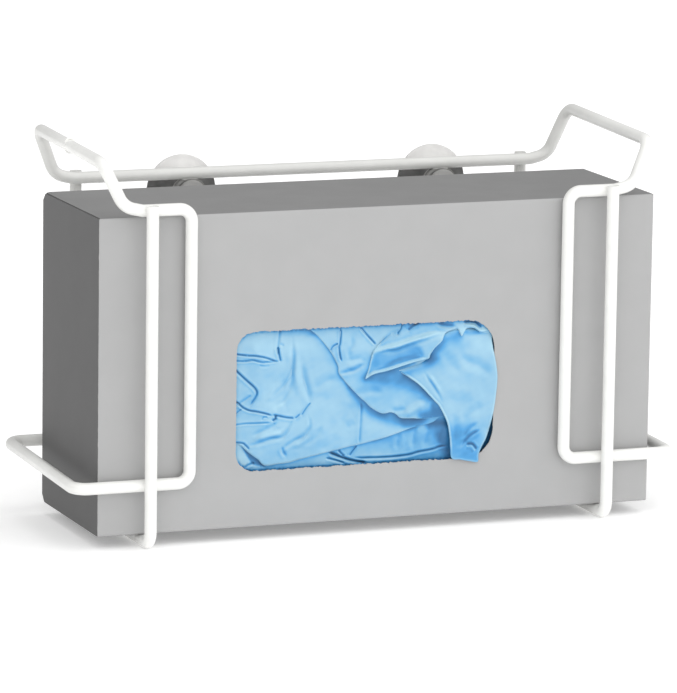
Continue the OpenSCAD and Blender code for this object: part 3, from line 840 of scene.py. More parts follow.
# %% One grey print in three depths of painted shade, and the bare board
# The front is the lit grey; top and ends are the same grey with painted shade.
front_print = printed_board("folding board printed light grey", "#A9A9A9", "#A7A7A7")
top_print_painted_shade = printed_board("folding board printed grey with mid painted shade", "#838383", "#808080")
end_print_painted_shade = printed_board("folding board printed grey with dark painted shade", "#5D5D5D", "#5B5B5B")

raw_board, shader = new_material("bare fibre of folding board", Roughness=0.85, IOR=1.48)
fibre = noise(raw_board, 0.8, detail=4.0)
wire_up(
    raw_board,
    shader,
    Base_Color=ramp(raw_board, fibre, [(0.3, "#A9A59C"), (0.7, "#C4C0B7")]),
    Normal=bump(raw_board, fibre, 0.04),
)

# %% The sleeve of four panels
carton = block(
    "carton_sleeve", CARTON_MIDDLE, (CARTON_SIZE.x - 2 * BOARD, CARTON_SIZE.y, CARTON_SIZE.z)
)
edit(carton)
pick(carton, "verts", lambda v: v.co.x < CARTON_MIDDLE.x * MM and v.co.y > CARTON_MIDDLE.y * MM)
bpy.ops.mesh.bevel(offset=CRUSH * MM, affect="VERTICES", segments=1)
pick(carton, "faces", lambda f: abs(f.normal.x) > 0.9)
bpy.ops.mesh.delete(type="FACE")
pick(carton, "edges", lambda e: runs_along(e, "x"))
bpy.ops.mesh.bevel(offset=FOLD_R * MM, offset_type="OFFSET", segments=5)
face_outward()
apply_modifier(carton, "SOLIDIFY", thickness=BOARD * MM, offset=-1)
print(f"carton sleeve: {len(carton.data.polygons)} faces")

# %% [markdown]
# ### The torn window
#
# The window is torn out along a perforation, which leaves ragged nibs and nicks along its
# top and bottom, across the grain of the board, and hardly any at its sides. The cutter is
# a ring of points laid along the torn edge, then filled and extruded through the board.


# %% The window's edge
def window_edge():
    """Points (x, z) along the window's edge, their inward directions and how ragged it is."""
    a, b, left, right = WINDOW_W / 2, WINDOW_H / 2, WINDOW_LEFT_R, WINDOW_RIGHT_R
    points, inward, ragged = [], [], []

    def straight(x0, z0, x1, z1, nx, nz, rough):
        count = round(math.hypot(x1 - x0, z1 - z0) / TEAR_STEP)
        for t in np.arange(count) / count:
            points.append((x0 + (x1 - x0) * t, z0 + (z1 - z0) * t))
            inward.append((nx, nz))
            ragged.append(rough)

    def quarter(x, z, radius, begin):
        count = round(math.pi * radius / 2 / TEAR_STEP)
        for turn in np.radians(begin + 90 * np.arange(count) / count):
            points.append((x + radius * math.cos(turn), z + radius * math.sin(turn)))
            inward.append((-math.cos(turn), -math.sin(turn)))
            ragged.append(0.25 + 0.75 * abs(math.sin(turn)) ** 3)

    straight(left - a, -b, a - right, -b, 0, 1, 1.0)
    quarter(a - right, right - b, right, -90)
    straight(a, right - b, a, b - right, -1, 0, 0.2)
    quarter(a - right, b - right, right, 0)
    straight(a - right, b, left - a, b, 0, -1, 1.0)
    quarter(left - a, b - left, left, 90)
    straight(-a, b - left, -a, left - b, 1, 0, 0.3)
    quarter(left - a, left - b, left, 180)
    return np.array(points), np.array(inward), np.array(ragged)


edge, inward, ragged = window_edge()
rng = np.random.default_rng(7)
tear = np.zeros(len(edge))
steps_per_nib = NIB_PITCH / TEAR_STEP
nib_middles = np.arange(0, len(edge), steps_per_nib)
for nib_middle in nib_middles + rng.uniform(-0.8, 0.8, len(nib_middles)):
    away = (np.arange(len(edge)) - nib_middle + len(edge) / 2) % len(edge) - len(edge) / 2
    size = NIB * rng.choice([1.3, 1.0, 0.6, -0.5, -0.9])
    tear += size * np.exp(-((away * TEAR_STEP / rng.uniform(0.25, 0.5)) ** 2))
edge = edge + inward * (tear * ragged)[:, None]
print(f"window: {len(edge)} points round the torn edge")

# %% Window cutter
cutter = start("window_cutter", bpy.ops.mesh.primitive_circle_add, vertices=len(edge), radius=0.03)
for vertex, (x, z) in zip(cutter.data.vertices, edge):
    vertex.co = mm(WINDOW_X + x, CARTON_LOW.y - CUT_REACH, WINDOW_Z + z)
edit(cutter)
bpy.ops.mesh.select_all(action="SELECT")
bpy.ops.mesh.edge_face_add()
bpy.ops.mesh.extrude_region_move(TRANSFORM_OT_translate={"value": mm(0, 2 * CUT_REACH, 0)})
face_outward()
apply_modifier(carton, "BOOLEAN", object=cutter, operation="DIFFERENCE", solver="EXACT")
bpy.data.objects.remove(cutter)
print(f"carton with its window: {len(carton.data.polygons)} faces")

# %% [markdown]
# ### The ends
#
# Each end is closed by flaps: two dust flaps fold in first, the back panel's flap comes
# over them, and the front panel's flap is glued on top. The outer flap ends a little short
# of its free sides. At the left, the two back corners have been knocked in.

# %% End flaps
ends = []
for side in (-1, 1):
    outside = CARTON_HIGH.x if side > 0 else CARTON_LOW.x
    inner = block(
        "inner_flap",
        (outside - side * 1.5 * BOARD, CARTON_MIDDLE.y, CARTON_MIDDLE.z),
        (BOARD, CARTON_SIZE.y - FLAP_MARGIN, CARTON_SIZE.z - FLAP_MARGIN),
    )
    outer = block(
        "outer_flap",
        (outside - side * BOARD / 2, CARTON_MIDDLE.y - FLAP_MARGIN / 2, CARTON_MIDDLE.z),
        (BOARD, CARTON_SIZE.y - FLAP_MARGIN, CARTON_SIZE.z - 2 * FLAP_MARGIN),
    )
    # the corners follow the sleeve's folds; the outer flap hangs on the front panel's fold
    for flap, at_back in ((inner, False), (inner, True), (outer, True)):
        crushed = at_back and side < 0
        edit(flap)
        pick(
            flap,
            "edges",
            lambda e: runs_along(e, "x") and (middle(e).y > CARTON_MIDDLE.y * MM) == at_back,
        )
        bpy.ops.mesh.bevel(
            offset=(CRUSH if crushed else FOLD_R) * MM,
            offset_type="OFFSET",
            segments=1 if crushed else 4,
        )
        bpy.ops.object.mode_set(mode="OBJECT")
    edit(outer)
    pick(
        outer,
        "edges",
        lambda e: abs(middle(e).y - CARTON_LOW.y * MM) < 0.0001
        and abs(middle(e).x - outside * MM) < 0.0001,
    )
    bpy.ops.mesh.bevel(offset=FLAP_ROUND * MM, offset_type="OFFSET", segments=4)
    bpy.ops.object.mode_set(mode="OBJECT")
    ends += [inner, outer]
carton = join(carton, *ends)


# %% Painted shade by side, bare board inside and on the cut edges
END_SHADE_REACH, FLAP_SHADE_REACH = 0.75, 0.62  # how far in from an end the ends' dark painted shade is seen, on its face and rim
FRONT_FOLD = 0.7  # depth of the outer flap's fold, whose front side keeps the front's lighter grey


def face_slot(face):
    """0 front and back; 1 top and bottom, with mid painted shade; 2 ends, with dark painted shade;
    3 bare board.
    """
    place, normal = face.center / MM, face.normal
    outward = place - CARTON_MIDDLE
    half = CARTON_SIZE / 2
    if abs(normal.x) > 0.7:
        return 2 if normal.x * outward.x > 0 and abs(outward.x) > half.x - END_SHADE_REACH else 3
    near_y, near_z = half.y - abs(outward.y), half.z - abs(outward.z)
    slanting = min(abs(v) for v in normal) > 0.4  # as only the knocked-in corners are
    if outward.x < CRUSH + 1 - half.x and slanting and outward.dot(normal) > 0:
        return 2
    on_front_fold = outward.y < -half.y + FRONT_FOLD and abs(normal.y) > 0.3
    if abs(outward.x) > half.x - FLAP_SHADE_REACH and not on_front_fold:
        return 2
    if min(near_y, near_z) > FOLD_R * 0.32 or normal.dot(Vector((0, outward.y, outward.z))) < 0:
        return 3
    return 0 if abs(normal.y) > abs(normal.z) else 1


carton.data.materials.clear()
for material in (front_print, top_print_painted_shade, end_print_painted_shade, raw_board):
    carton.data.materials.append(material)
for face in carton.data.polygons:
    face.material_index = face_slot(face)
smooth(carton, 32)
carton.name = "folded_carton"
finish_piece(carton, slot="carton_board", replaces=["carton"])

# %% [markdown]
# ## The gloves
#
# A disposable glove is nitrile film about a tenth of a millimetre thick, and a folded one
# shows as one or two smooth skins with sharp creases. Each visible skin is a sheet: its
# outline and its creases are drawn as lines on the window, points are laid densely along
# them and sparsely between, and a triangulation joins the points. The height of each
# point then comes from the pillow of the pack below and from every crease near it.
# Mesh code is used, because film is made as a surface and not as a block.

# %% Material: light blue nitrile film, with painted light and shade
PAINTED_HIGHLIGHT_END, PAINTED_SHADE_END = -0.5, 1.5  # painted highlight and painted shade at the two ends of the ramp
film, shader = new_material(
    "light blue nitrile film", Roughness=0.42, IOR=1.52, Sheen_Weight=0.08, Sheen_Roughness=0.5
)
# The film's colour follows an attribute of painted shade, painted highlight and random mottling.
mottle_and_painted_light = add_node(film, "ShaderNodeAttribute", {"attribute_name": "mottle_and_painted_light"}).outputs["Fac"]
film_painted_light_colour = ramp(
    film,
    remap(film, mottle_and_painted_light, PAINTED_HIGHLIGHT_END, PAINTED_SHADE_END),
    [
        (0.0, "#A5CCDD"),
        (0.25, "#90BBD4"),
        (0.4, "#73AED3"),
        (0.55, "#4697CE"),
        (0.725, "#2A72A6"),
        (1.0, "#123A59"),
    ],
)
cloud = ramp(film, noise(film, 16.0, detail=2.0), [(0.3, "#EFF7FB"), (0.7, "#FFFFFF")])
ripple = bump(film, noise(film, 3.4, detail=3.0), 0.09)
grip = noise(film, 0.55, detail=1.0)
wire_up(
    film,
    shader,
    Base_Color=blend(film, 1.0, film_painted_light_colour, cloud, "MULTIPLY"),
    Normal=bump(film, grip, 0.012, under=ripple),
)


# %% [markdown]
# ### Creases as lines
#
# Places are millimetres from the middle of the window, across and up, as seen by someone who stands
# at the camera. Each line has a width, a height and a tone: painted shade in deeper blue along a
# fold, and a paler painted highlight along a lip.

# %% Creases of the third glove, at the left
# Each crease is (width, height, tone, line). The tone is painted shade, or a painted highlight
# where it is negative. A negative height is a valley.
CREASES = {}
CREASES["third"] = [
    # the pair of creases at the left edge
    (0.42, -0.5, 0.85, [(-61, 20.3), (-52.9, 19.0), (-49.2, 18.6), (-45.2, 17.8), (-41.8, 16.6),
        (-39.5, 16.1)]),
    (0.40, -0.4, 0.55, [(-61, 17.4), (-54.1, 16.7), (-50.4, 16.9), (-47.9, 16.3), (-45.7, 15.8),
        (-43.3, 15.9), (-40.3, 16), (-38.1, 16)]),
    (0.50, -0.15, 0.2, [(-47.4, 14.7), (-44.7, 14.2), (-42.7, 14.4)]),
    (0.60, -0.35, 0.4, [(-38.6, 30), (-39.1, 25.1), (-39.4, 21.4), (-39.1, 18)]),
    (0.50, -0.5, 0.8, [(-39.6, 22.1), (-39.3, 20.1), (-38.8, 18), (-38.1, 15.6)]),
    (0.60, -0.2, 0.3, [(-38.7, 23.2), (-37.7, 22.7), (-36.7, 22.1)]),
    # soft upright folds
    (0.95, -0.55, 0.4, [(-33, 27), (-32.9, 20.7), (-32.8, 15.6), (-33.6, 11.1), (-36.2, 6.8),
        (-40.1, 3.2), (-44, -1)]),
    (0.90, -0.4, 0.3, [(-33, 12.7), (-33.1, 7.9), (-34.6, 3.5), (-37.4, -0.8), (-40.9, -2.6)]),
    (1.30, -0.5, 0.26, [(-29.2, 15.6), (-28.2, 9), (-26.4, 3), (-25.1, -2.7)]),
    (1.40, 0.45, -0.16, [(-36.5, 7.6), (-40.6, 3.3), (-45, -0.4)]),
    (1.50, 0.5, -0.18, [(-31.2, 19.3), (-30.9, 10.2), (-29.9, 0)]),
    (1.50, 0.35, -0.14, [(-36.1, -1), (-39, -4), (-43, -5)]),
    (1.60, -0.3, 0.16, [(-25.2, 3.2), (-18.2, 6.9), (-12.6, 7.3)]),
    (1.80, -0.3, 0.14, [(-12.3, -12.6), (-9.3, -6.8), (-5.2, -3.3)]),
    (1.80, -0.35, 0.16, [(-22, -21.5), (-16.4, -19), (-12.3, -14.6)]),
    # the pointed fold
    (0.50, -0.55, 0.8, [(-60, 15.4), (-55, 10.7), (-52.5, 8.4), (-49.5, 5.7), (-48.3, 3.6),
        (-49, 1.4), (-50.7, -0.9), (-51.7, -2.4)]),
    (0.60, -0.3, 0.4, [(-50.5, 2.9), (-53, 1.2), (-58, -1.6)]),
    # the long crease below it, with its tuck
    (0.42, -0.55, 0.95, [(-59.5, 2), (-55.9, -0.9), (-53.9, -2.5), (-51.4, -3.7), (-48.4, -4.3),
        (-45, -5.2), (-43, -5.8), (-41, -6.5)]),
    (0.50, -0.45, 0.8, [(-41.5, -6), (-40, -6.3), (-37, -7.1), (-34.1, -7.7), (-31.8, -7.9)]),
    (0.40, -0.4, 0.8, [(-31.6, -7.9), (-30.8, -7.4), (-29.6, -6.3)]),
    (0.40, -0.4, 0.75, [(-29, -7.1), (-27.9, -5.4), (-26.7, -3.8), (-24.9, -1.7)]),
    (0.55, -0.6, 1.25, [(-40.5, -6.3), (-40.1, -7.5), (-41.5, -8.5)]),
    (0.40, -0.25, 0.45, [(-45.9, -7.8), (-45.2, -6.7), (-43.5, -6.7)]),
    (0.38, -0.35, 0.5, [(-60.5, -9.6), (-53.8, -9), (-48.9, -9.1), (-44.9, -9.1), (-41.5, -9.2)]),
    (0.40, -0.3, 0.6, [(-59, -5.8), (-55.6, -3.4), (-54.6, -2.7)]),
    # slanting soft folds at the lower left
    (1.00, -0.4, 0.24, [(-38, -9), (-43.8, -11.5), (-47, -12.8), (-51.1, -14.3)]),
    (0.80, -0.5, 0.34, [(-53.4, -18.4), (-47.7, -17.5), (-42.2, -16), (-37.1, -15.3),
        (-34.4, -11.7), (-32.3, -7.1)]),
    (1.10, 0.5, -0.2, [(-50, -16), (-43.2, -14.4), (-38.1, -13.4), (-36, -11)]),
    (0.70, -0.3, 0.3, [(-37.4, -19), (-36.6, -21.5), (-34.8, -23.7)]),
    (0.80, -0.45, 0.3, [(-34.4, -25.4), (-36.9, -20.9), (-32.8, -17.6), (-28.1, -15.5),
        (-25.2, -11.3), (-26.2, -5.6)]),
    (1.10, 0.45, -0.18, [(-33, -20), (-27.4, -17.6), (-24.3, -15)]),
    (1.20, -0.4, 0.22, [(-28.9, -19.6), (-22.6, -15.8), (-19.6, -10.8)]),
    (0.42, -0.4, 0.85, [(-59.5, -16.4), (-54.5, -16.9), (-53, -17.9), (-51, -19.9)]),
    # the upright crease below the second glove
    (0.60, -0.3, 0.42, [(-3.3, -2.7), (-3, -5.3), (-3.1, -10.8), (-3.4, -16.4), (-3.5, -20.4)]),
    (1.40, -0.25, 0.18, [(-9.9, -13.1), (-7.5, -12), (-5, -11.3)]),
]

# %% Creases of the second glove, in the middle
CREASES["second"] = [
    (0.80, -0.45, 0.42, [(-13.7, 9.3), (-8.1, 10.3), (-5.6, 10.9), (-1.2, 13.3)]),
    (1.20, 0.4, -0.16, [(-10.5, 12.3), (-5.6, 13.2), (-2, 16)]),
    (1.40, -0.35, 0.16, [(-8, 0.6), (0.6, 1.4), (7.5, 0.5)]),
    (0.45, -0.5, 0.85, [(-12.5, 28.5), (-12.4, 24.8), (-12.7, 21.4), (-13, 20.5), (-12.5, 16.5),
        (-11.5, 14.1)]),
    (0.42, -0.45, 0.8, [(-16.8, 19), (-15.6, 20.8), (-13.2, 22)]),
    (1.10, -0.4, 0.28, [(-7.4, 25.2), (-7.4, 20.8), (-8.5, 18.6), (-8.5, 14.8)]),
    (0.42, -0.5, 0.75, [(-4.1, 28.3), (-0.7, 24.5), (3.2, 20.4)]),
    (0.90, -0.2, 0.2, [(-10.3, 14.6), (-5.4, 15.2), (-0.5, 14.4)]),
    (1.00, -0.3, 0.24, [(9.7, -6.3), (12.8, -7.1), (17.4, -6.8)]),
    (1.50, 0.9, -0.25, [(15.0, -9.8), (19.6, -7.5), (25.7, -4.3)]),
]

# %% Creases of the front glove and of its folded finger
HEM = [(14, 8.9), (17.2, 6.7), (21.2, 3.9), (24.3, 1.1), (26.9, -1.7), (29.7, -4.6), (31.3, -6.4),
    (33.8, -10.9), (35.2, -14.5), (36.2, -20.4), (37, -28.1)]
CREASES["front"] = [
    (1.80, -0.25, 0.12, [(30.4, 17.5), (34, 13.5), (38, 9.3), (42, 6)]),
    (2.00, -0.45, 0.28, [(40.2, 16), (43.3, 12.3), (49.6, 9.1), (55, 4.4)]),
    (0.70, -0.3, 0.22, [(24, 8.7), (27.3, 3.8), (30.2, -0.4), (33, -5.6)]),
    (0.90, 0.35, -0.15, [(26, 7.2), (29.3, 2.8), (32, -1.8)]),
    (1.50, -0.35, 0.16, [(37.9, -9.1), (38.3, -16.5), (38.2, -23.1)]),
    (1.60, -0.4, 0.2, [(40.5, -14), (45.5, -9.8), (52, -6.5)]),
    # wrinkles at the cuff
    (0.90, -0.4, 0.3, [(49.1, -13.9), (45.4, -16.3), (42.7, -19.1), (40.9, -20.7)]),
    (0.70, -0.55, 0.55, [(50.4, -16.9), (45.5, -19.5), (42.7, -22), (40.9, -24.8)]),
    (0.60, -0.5, 0.65, [(43.4, -23.2), (46.2, -23.3), (48.1, -25.6)]),
    # rim of the cuff
    (0.45, 0.45, -0.35, HEM),
]
CREASES["finger"] = [
    # the upper ridge, the lower lip and the left lip of the folded finger
    (0.95, 1.1, -0.3, [(1.3, 17), (6.7, 18.6), (12.3, 19.4), (18.4, 21.2), (24.6, 22.6),
        (28.9, 23.6), (33.8, 23.9)]),
    (0.50, 0.8, -0.55, [(-1.3, 6.4), (2.3, 8.7), (8.4, 9.9), (15.5, 11.7), (21.7, 13.1),
        (26.1, 13.7)]),
    (0.45, 0.2, -0.3, [(1.6, 17.2), (0.7, 14), (-0.2, 10.3), (-1.3, 6.6)]),
    (0.60, -0.4, 0.5, [(4.6, 21.1), (6.7, 22.8), (9.4, 25.5)]),
    (0.50, -0.5, 0.9, [(13.5, 29), (13.5, 27), (12.3, 24.1)]),
    (0.60, -0.45, 0.9, [(16.8, 25.6), (19.3, 27.6), (22, 28.7)]),
    (0.90, -0.6, 1.0, [(28.8, 28.2), (33.8, 27), (38.7, 26.6)]),
    # the ruffle at the upper right
    (0.60, -0.7, 0.85, [(41.2, 27.9), (46.1, 27.6), (48, 26.1), (49.6, 24.9)]),
    (0.80, 0.7, -0.3, [(42.6, 26.1), (46.2, 25.7), (49.3, 24.0), (52.7, 24.1)]),
]

# %% Creases of the pack that shows below and beside the loose gloves
CREASES["stack"] = [
    (0.60, -0.7, 1.25, [(-17.4, -22.7), (-14, -24.2), (-10.9, -25.5), (-7.9, -26.6),
        (-4.2, -27.5), (0.1, -28.2)]),
    (0.42, -0.4, 0.7, [(-12.8, -22.1), (-11.6, -23.5), (-9.9, -24.9)]),
    (0.42, -0.4, 0.75, [(-4.6, -20.8), (-6.4, -22.9), (-7.9, -25)]),
    (0.50, -0.5, 0.6, [(-7.3, -25.3), (-3.3, -26.1), (1.3, -26.3), (7.5, -26.5), (13.6, -26.4),
        (18.8, -26), (22.3, -25.2), (28.5, -24.4), (32.2, -23.4), (36.3, -23.4)]),
    (0.45, -0.35, 0.5, [(-18.3, -25.2), (-14, -26.4), (-9.7, -27.8)]),
    (1.10, -0.3, 0.18, [(14.8, -16.4), (13.4, -19.7), (13, -24)]),
    (1.10, -0.35, 0.22, [(21.4, -14), (20.4, -18.7), (19.6, -24)]),
    (1.20, -0.35, 0.22, [(27.3, -13), (26.1, -18.1), (24.6, -23.8)]),
    (1.10, -0.3, 0.2, [(33.6, -15), (31.6, -19.5), (31, -23)]),
    (0.50, -0.4, 0.6, [(-53.4, -27.2), (-51.4, -26), (-48.9, -25.5)]),
]
print("creases:", {skin: len(lines) for skin, lines in CREASES.items()})

# %% Outlines of the skins
# Each is closed, and runs on under the board or the glove above it.
SEAM = [(-26.5, 31), (-25.4, 28.4), (-23, 26.3), (-19.9, 22.9), (-16.8, 19), (-14.6, 15.4),
    (-13.2, 12.4), (-12.9, 9.8), (-10.2, 6.2), (-6.5, 2.2), (-3.4, -0.9), (-1.2, -2.8), (1, -5),
    (3.5, -6.7), (5.9, -7.9), (8.1, -8), (9.9, -7.7), (12.1, -8.5), (14.4, -10.3), (19, -10.8),
    (23.6, -11.1), (28.3, -10.9)]
LOW_EDGE = [(-57.5, -16.2), (-55.4, -17.5), (-52.9, -19.7), (-50, -22.1), (-47.5, -23.9),
    (-44.5, -26.7), (-38.8, -26.4), (-34.1, -26.1), (-29.2, -25), (-23.2, -23.9), (-17.1, -22.7),
    (-12.8, -21.9), (-7.9, -21), (-3.4, -20.3), (1.2, -19.4), (7.3, -18.2), (13.5, -16.5),
    (16, -15.7), (20.3, -14.5), (24.3, -13.9)]
CUFF_AND_SIDE = [(41, -29.2), (45, -30.1), (48.8, -30.6), (49.1, -27.6), (50.4, -24.6),
    (52.4, -21), (53.8, -17), (54.8, -13), (55.7, -8.5), (56.3, -4), (56.8, 1), (56.9, 5),
    (56.4, 9), (55.6, 13), (54.7, 17), (54.2, 21)]
FINGER_EDGE = [(4.6, 21.2), (2.8, 19.4), (1.6, 17.2), (0.7, 14), (-0.2, 10.3), (-1.3, 6.6),
    (2.3, 8.4), (8.4, 9.5), (15.5, 11.4), (21.7, 12.8), (26.2, 13.6), (27.2, 15.5), (29, 17.7),
    (32, 20.5), (33.7, 23.9), (38.4, 25.4), (39.6, 23.9), (40.7, 22.2), (41.8, 23.9),
    (43.1, 25.3), (46.2, 25.2), (49.3, 23.3), (53.4, 23.6)]
OUTLINES = {
    "third": LOW_EDGE + [(30, -12), (33, -6), (33, 20), (22, 31.5), (-61.5, 31.5), (-61.5, -14)],
    "second": SEAM + [(35, -9), (41, 4), (41, 20), (30, 31)],
    "front": HEM + CUFF_AND_SIDE + [(55.5, 26), (48, 31), (34, 31), (24, 24), (16, 16),
        (12.5, 11.5)],
    "finger": FINGER_EDGE + [(56.5, 26), (50, 31), (12, 31), (9.4, 26), (6.7, 22.9)],
    "stack": [(-61.5, -32), (61.5, -32), (61.5, 32), (-61.5, 32)],
}

# %% Soft patches of painted shade, of painted highlight where the tone is negative, and of height alone where it is 0
# Each patch is (softness, height, tone, outline).
PATCHES = {
    "third": [
        (2.4, 0, 0.6, [(-9, 5), (-4, -0.5), (0, -4), (5, -6.5), (10, -7), (22, -9.5), (24, -13),
            (16, -14), (9, -12.6), (3, -10), (-0.5, -7.2), (-3.5, -4.6), (-6.5, -0.8)]),
        (1.6, 0, 0.4, [(16, -10), (30, -9), (33, -13), (25, -16), (19, -15.4), (15, -13.6)]),
        (1.6, 0, 0.25, [(-39, 29.1), (-25.9, 28.5), (-23.6, 25.3), (-30, 26.3), (-37, 26.7)]),
    ],
    "second": [
        (3.0, 0, 0.12, [(-30, 35), (45, 35), (45, -15), (-5, -15)]),
        (0.8, 0, 0.45, [(6.1, 22.4), (8.8, 25.2), (13.4, 26.4), (12.8, 23.8)]),
        (3.4, 0, 0.62, [(-3.2, 7.5), (4, 10), (15, 12), (19, 8.5), (25.5, 2.4), (29, -3),
            (24.5, -2.4), (18, 0.6), (9, 2.6), (2.5, 3.6)]),
        (1.8, 0, 0.8, [(22.7, -8.8), (27, -7.3), (28.8, -5.4), (33.2, -10.3), (28.3, -11.8),
            (23, -11.2)]),
    ],
    "front": [
        (2.0, -2.0, 0.0, [(-2, 6), (12, 9.6), (24.5, 12.6), (28.5, 19), (33, 24.5), (40, 26),
            (50, 26), (50, 34), (0, 34)]),
        (2.8, 0, 0.7, [(26.6, 13.9), (29, 17.5), (32.6, 21), (33.8, 22.7), (38.7, 25),
            (40.3, 22.1), (38.8, 19.9), (34.5, 19.8), (30.9, 16.5), (27.8, 13.7)]),
        (0.9, 0, 0.6, [(42.8, 24.9), (46.5, 24.7), (49, 23.1), (46.2, 22.4), (42.5, 22.9)]),
        (2.4, 0, 0.65, [(14, 9.8), (26, 14.5), (31.4, 13.4), (26.7, 10.3), (18.7, 7.5)]),
        (3.5, 0, 0.16, [(26, 14), (33, 22), (44, 20), (40, 13), (33, 9), (27, 9)]),
        (4.0, 0, 0.56, [(34, -17), (41.3, -14.4), (52.4, -17.8), (50.8, -36.9), (36.5, -35.5)]),
        (3.0, -0.3, 0.14, [(35.9, -3.1), (45.2, -2.2), (48.4, -6.5), (40.6, -7.8)]),
    ],
    "finger": [
        (1.4, -0.5, 0.5, [(1.9, 16.0), (8.3, 17.2), (16.5, 19), (21.5, 19), (23.6, 14.9),
            (18.6, 14.2), (9.4, 12), (2.3, 9.8), (-0.4, 7.8)]),
        (1.8, -0.2, 0.16, [(16.5, 19), (25.5, 21), (30.8, 21), (26.6, 14.4), (20, 14.2)]),
        (1.0, 0, 0.6, [(3.2, 9.8), (6.8, 11.9), (11.9, 14), (17, 15.2), (22, 14.8), (22.5, 13.7),
            (18.6, 13), (9.4, 11), (4.3, 9.5)]),
        (2.2, -1.0, 0, [(1.5, 20), (6.5, 33), (15, 33), (12, 24), (7.5, 20.5)]),
        (1.2, 0, 0.4, [(3.1, 20.3), (6.1, 24.5), (13.7, 28.4), (23.9, 28.8), (38.7, 26.4),
            (33.2, 24.9), (24.6, 23.9), (9.3, 20.9)]),
    ],
    "stack": [
        (3.5, 0, 0.24, [(-2, -19), (12, -15.5), (24, -12), (37, -10), (38, -30), (20, -30),
            (8, -24)]),
        (2.5, 0, 1.0, [(52, -8), (60, -8), (60, -33), (44, -33), (47, -25)]),
        (1.5, 0, 0.9, [(53, 30), (60, 30), (60, -10), (55.4, -10)]),
        (2.0, 0, 0.6, [(14.4, -10.4), (23.6, -10.9), (33.9, -12.7), (34.5, -14.5), (27.1, -14.6),
            (24, -13.9), (17.5, -15.2)]),
        (2.6, 0, 0.75, [(26, -12.4), (35.5, -13.1), (36.9, -26.9), (33.5, -26.2), (29.5, -18.4)]),
        (0.6, -0.4, 0.75, [(-54.4, -18.7), (-50.5, -22.1), (-44.7, -26.7), (-46.7, -26.8),
            (-50.4, -25.4)]),
        (1.4, 0, -0.35, [(-56.9, -16.9), (-54.7, -18.5), (-51.2, -24.9), (-54.1, -26.8),
            (-56.6, -22.9)]),
    ],
}

# %% [markdown]
# ### Heights
#
# Heights are measured outward from the front of the carton. Each skin starts behind the
# board at the window's edge and swells through it, and each lies a little above the one
# below. A point moves outward along the line of sight, so a line stays where it is drawn.


# %% Curves and distances
def curve_through(points, step, closed=False):
    """A smooth line through the points, resampled at about the given step."""
    p = np.array(points, float)
    if closed:
        p = np.vstack([p[-1], p, p[0], p[1]])
    else:
        p = np.vstack([2 * p[0] - p[1], p, 2 * p[-1] - p[-2]])
    out = []
    for a, b, c, d in zip(p, p[1:], p[2:], p[3:]):
        count = max(1, round(float(np.linalg.norm(c - b)) / step))
        for t in np.arange(count)[:, None] / count:
            square, cube = 2 * a - 5 * b + 4 * c - d, 3 * b - a - 3 * c + d
            out.append(0.5 * (2 * b + (c - a) * t + square * t**2 + cube * t**3))
    out = np.array(out).reshape(-1, 2)
    return out if closed else np.vstack([out, p[-2]])


def off_line(places, line):
    """Each place's distance from a line of points, and how far along the line it is, 0 to 1."""
    a, b = line[:-1], line[1:]
    along = b - a
    length = np.linalg.norm(along, axis=1)
    sums = np.concatenate([[0], np.cumsum(length)])
    best = np.full(len(places), 1e9)
    share = np.zeros(len(places))
    for k in range(len(a)):
        t = np.clip((places - a[k]) @ along[k] / max(length[k] ** 2, 1e-12), 0, 1)
        gap = np.linalg.norm(places - (a[k] + t[:, None] * along[k]), axis=1)
        nearer = gap < best
        best[nearer] = gap[nearer]
        share[nearer] = ((sums[k] + t * length[k]) / sums[-1])[nearer]
    return best, share


def inside(places, outline):
    """True for places inside a closed outline."""
    x, y = places[:, 0], places[:, 1]
    result = np.zeros(len(places), bool)
    for (ax, ay), (bx, by) in zip(outline, np.roll(outline, -1, axis=0)):
        crosses = (ay > y) != (by > y)
        with np.errstate(divide="ignore", invalid="ignore"):
            result ^= crosses & (x < (bx - ax) * (y - ay) / (by - ay) + ax)
    return result


# %% Soft steps and bumps
WAVES = 7


def ease(t):
    """A smooth step from 0 to 1."""
    t = np.clip(t, 0, 1)
    return t * t * (3 - 2 * t)


def bell(t):
    """A bump of height 1 round 0."""
    return np.exp(-(t**2))


def either(a, b):
    """A union of two shares from 0 to 1 without a kink where they cross."""
    return a + b - a * b


def fades(share, end):
    """1 along a line, falling to 0 at its two ends."""
    return ease(share / end) * ease((1 - share) / end)


def soft_waves(p, seed, size, height):
    """A few broad waves, as loosely folded film has."""
    rng = np.random.default_rng(seed)
    total = np.zeros(len(p))
    for _ in range(WAVES):
        angle, phase = rng.uniform(0, math.pi), rng.uniform(0, 2 * math.pi)
        wave = size * rng.uniform(0.7, 1.6)
        along = p[:, 0] * math.cos(angle) + p[:, 1] * math.sin(angle)
        total += np.sin(along * 2 * math.pi / wave + phase)
    return height * total / WAVES


# %% Where a place lies in the window
DRAWN_X = -4.0  # the drawing's middle; the window's own is 0.8 mm further left
EDGE_MARGIN = 0.4  # no swelling this close to the window's edge


CUFF_FROM, CUFF_BELOW = 30, -16  # the cuff hangs out right of this x and below this z
SIDE_FROM = 42  # the front glove's side hangs out right of this x
SIDE_MIDDLE, SIDE_HALF = 2, 21  # and up to this far above and below the middle
GAP_X, GAP_Z = 53, -21  # middle of the dark gap beside the front glove


def from_edge(p):
    """How far a place lies inside the window's edge, with its round corners, in mm."""
    x = p[:, 0] + DRAWN_X - WINDOW_X
    radius = np.where(x < 0, WINDOW_LEFT_R, WINDOW_RIGHT_R)
    dx, dz = np.abs(x) - (WINDOW_W / 2 - radius), np.abs(p[:, 1]) - (WINDOW_H / 2 - radius)
    beyond = np.hypot(np.maximum(dx, 0), np.maximum(dz, 0))
    return radius - beyond - np.minimum(np.maximum(dx, dz), 0)


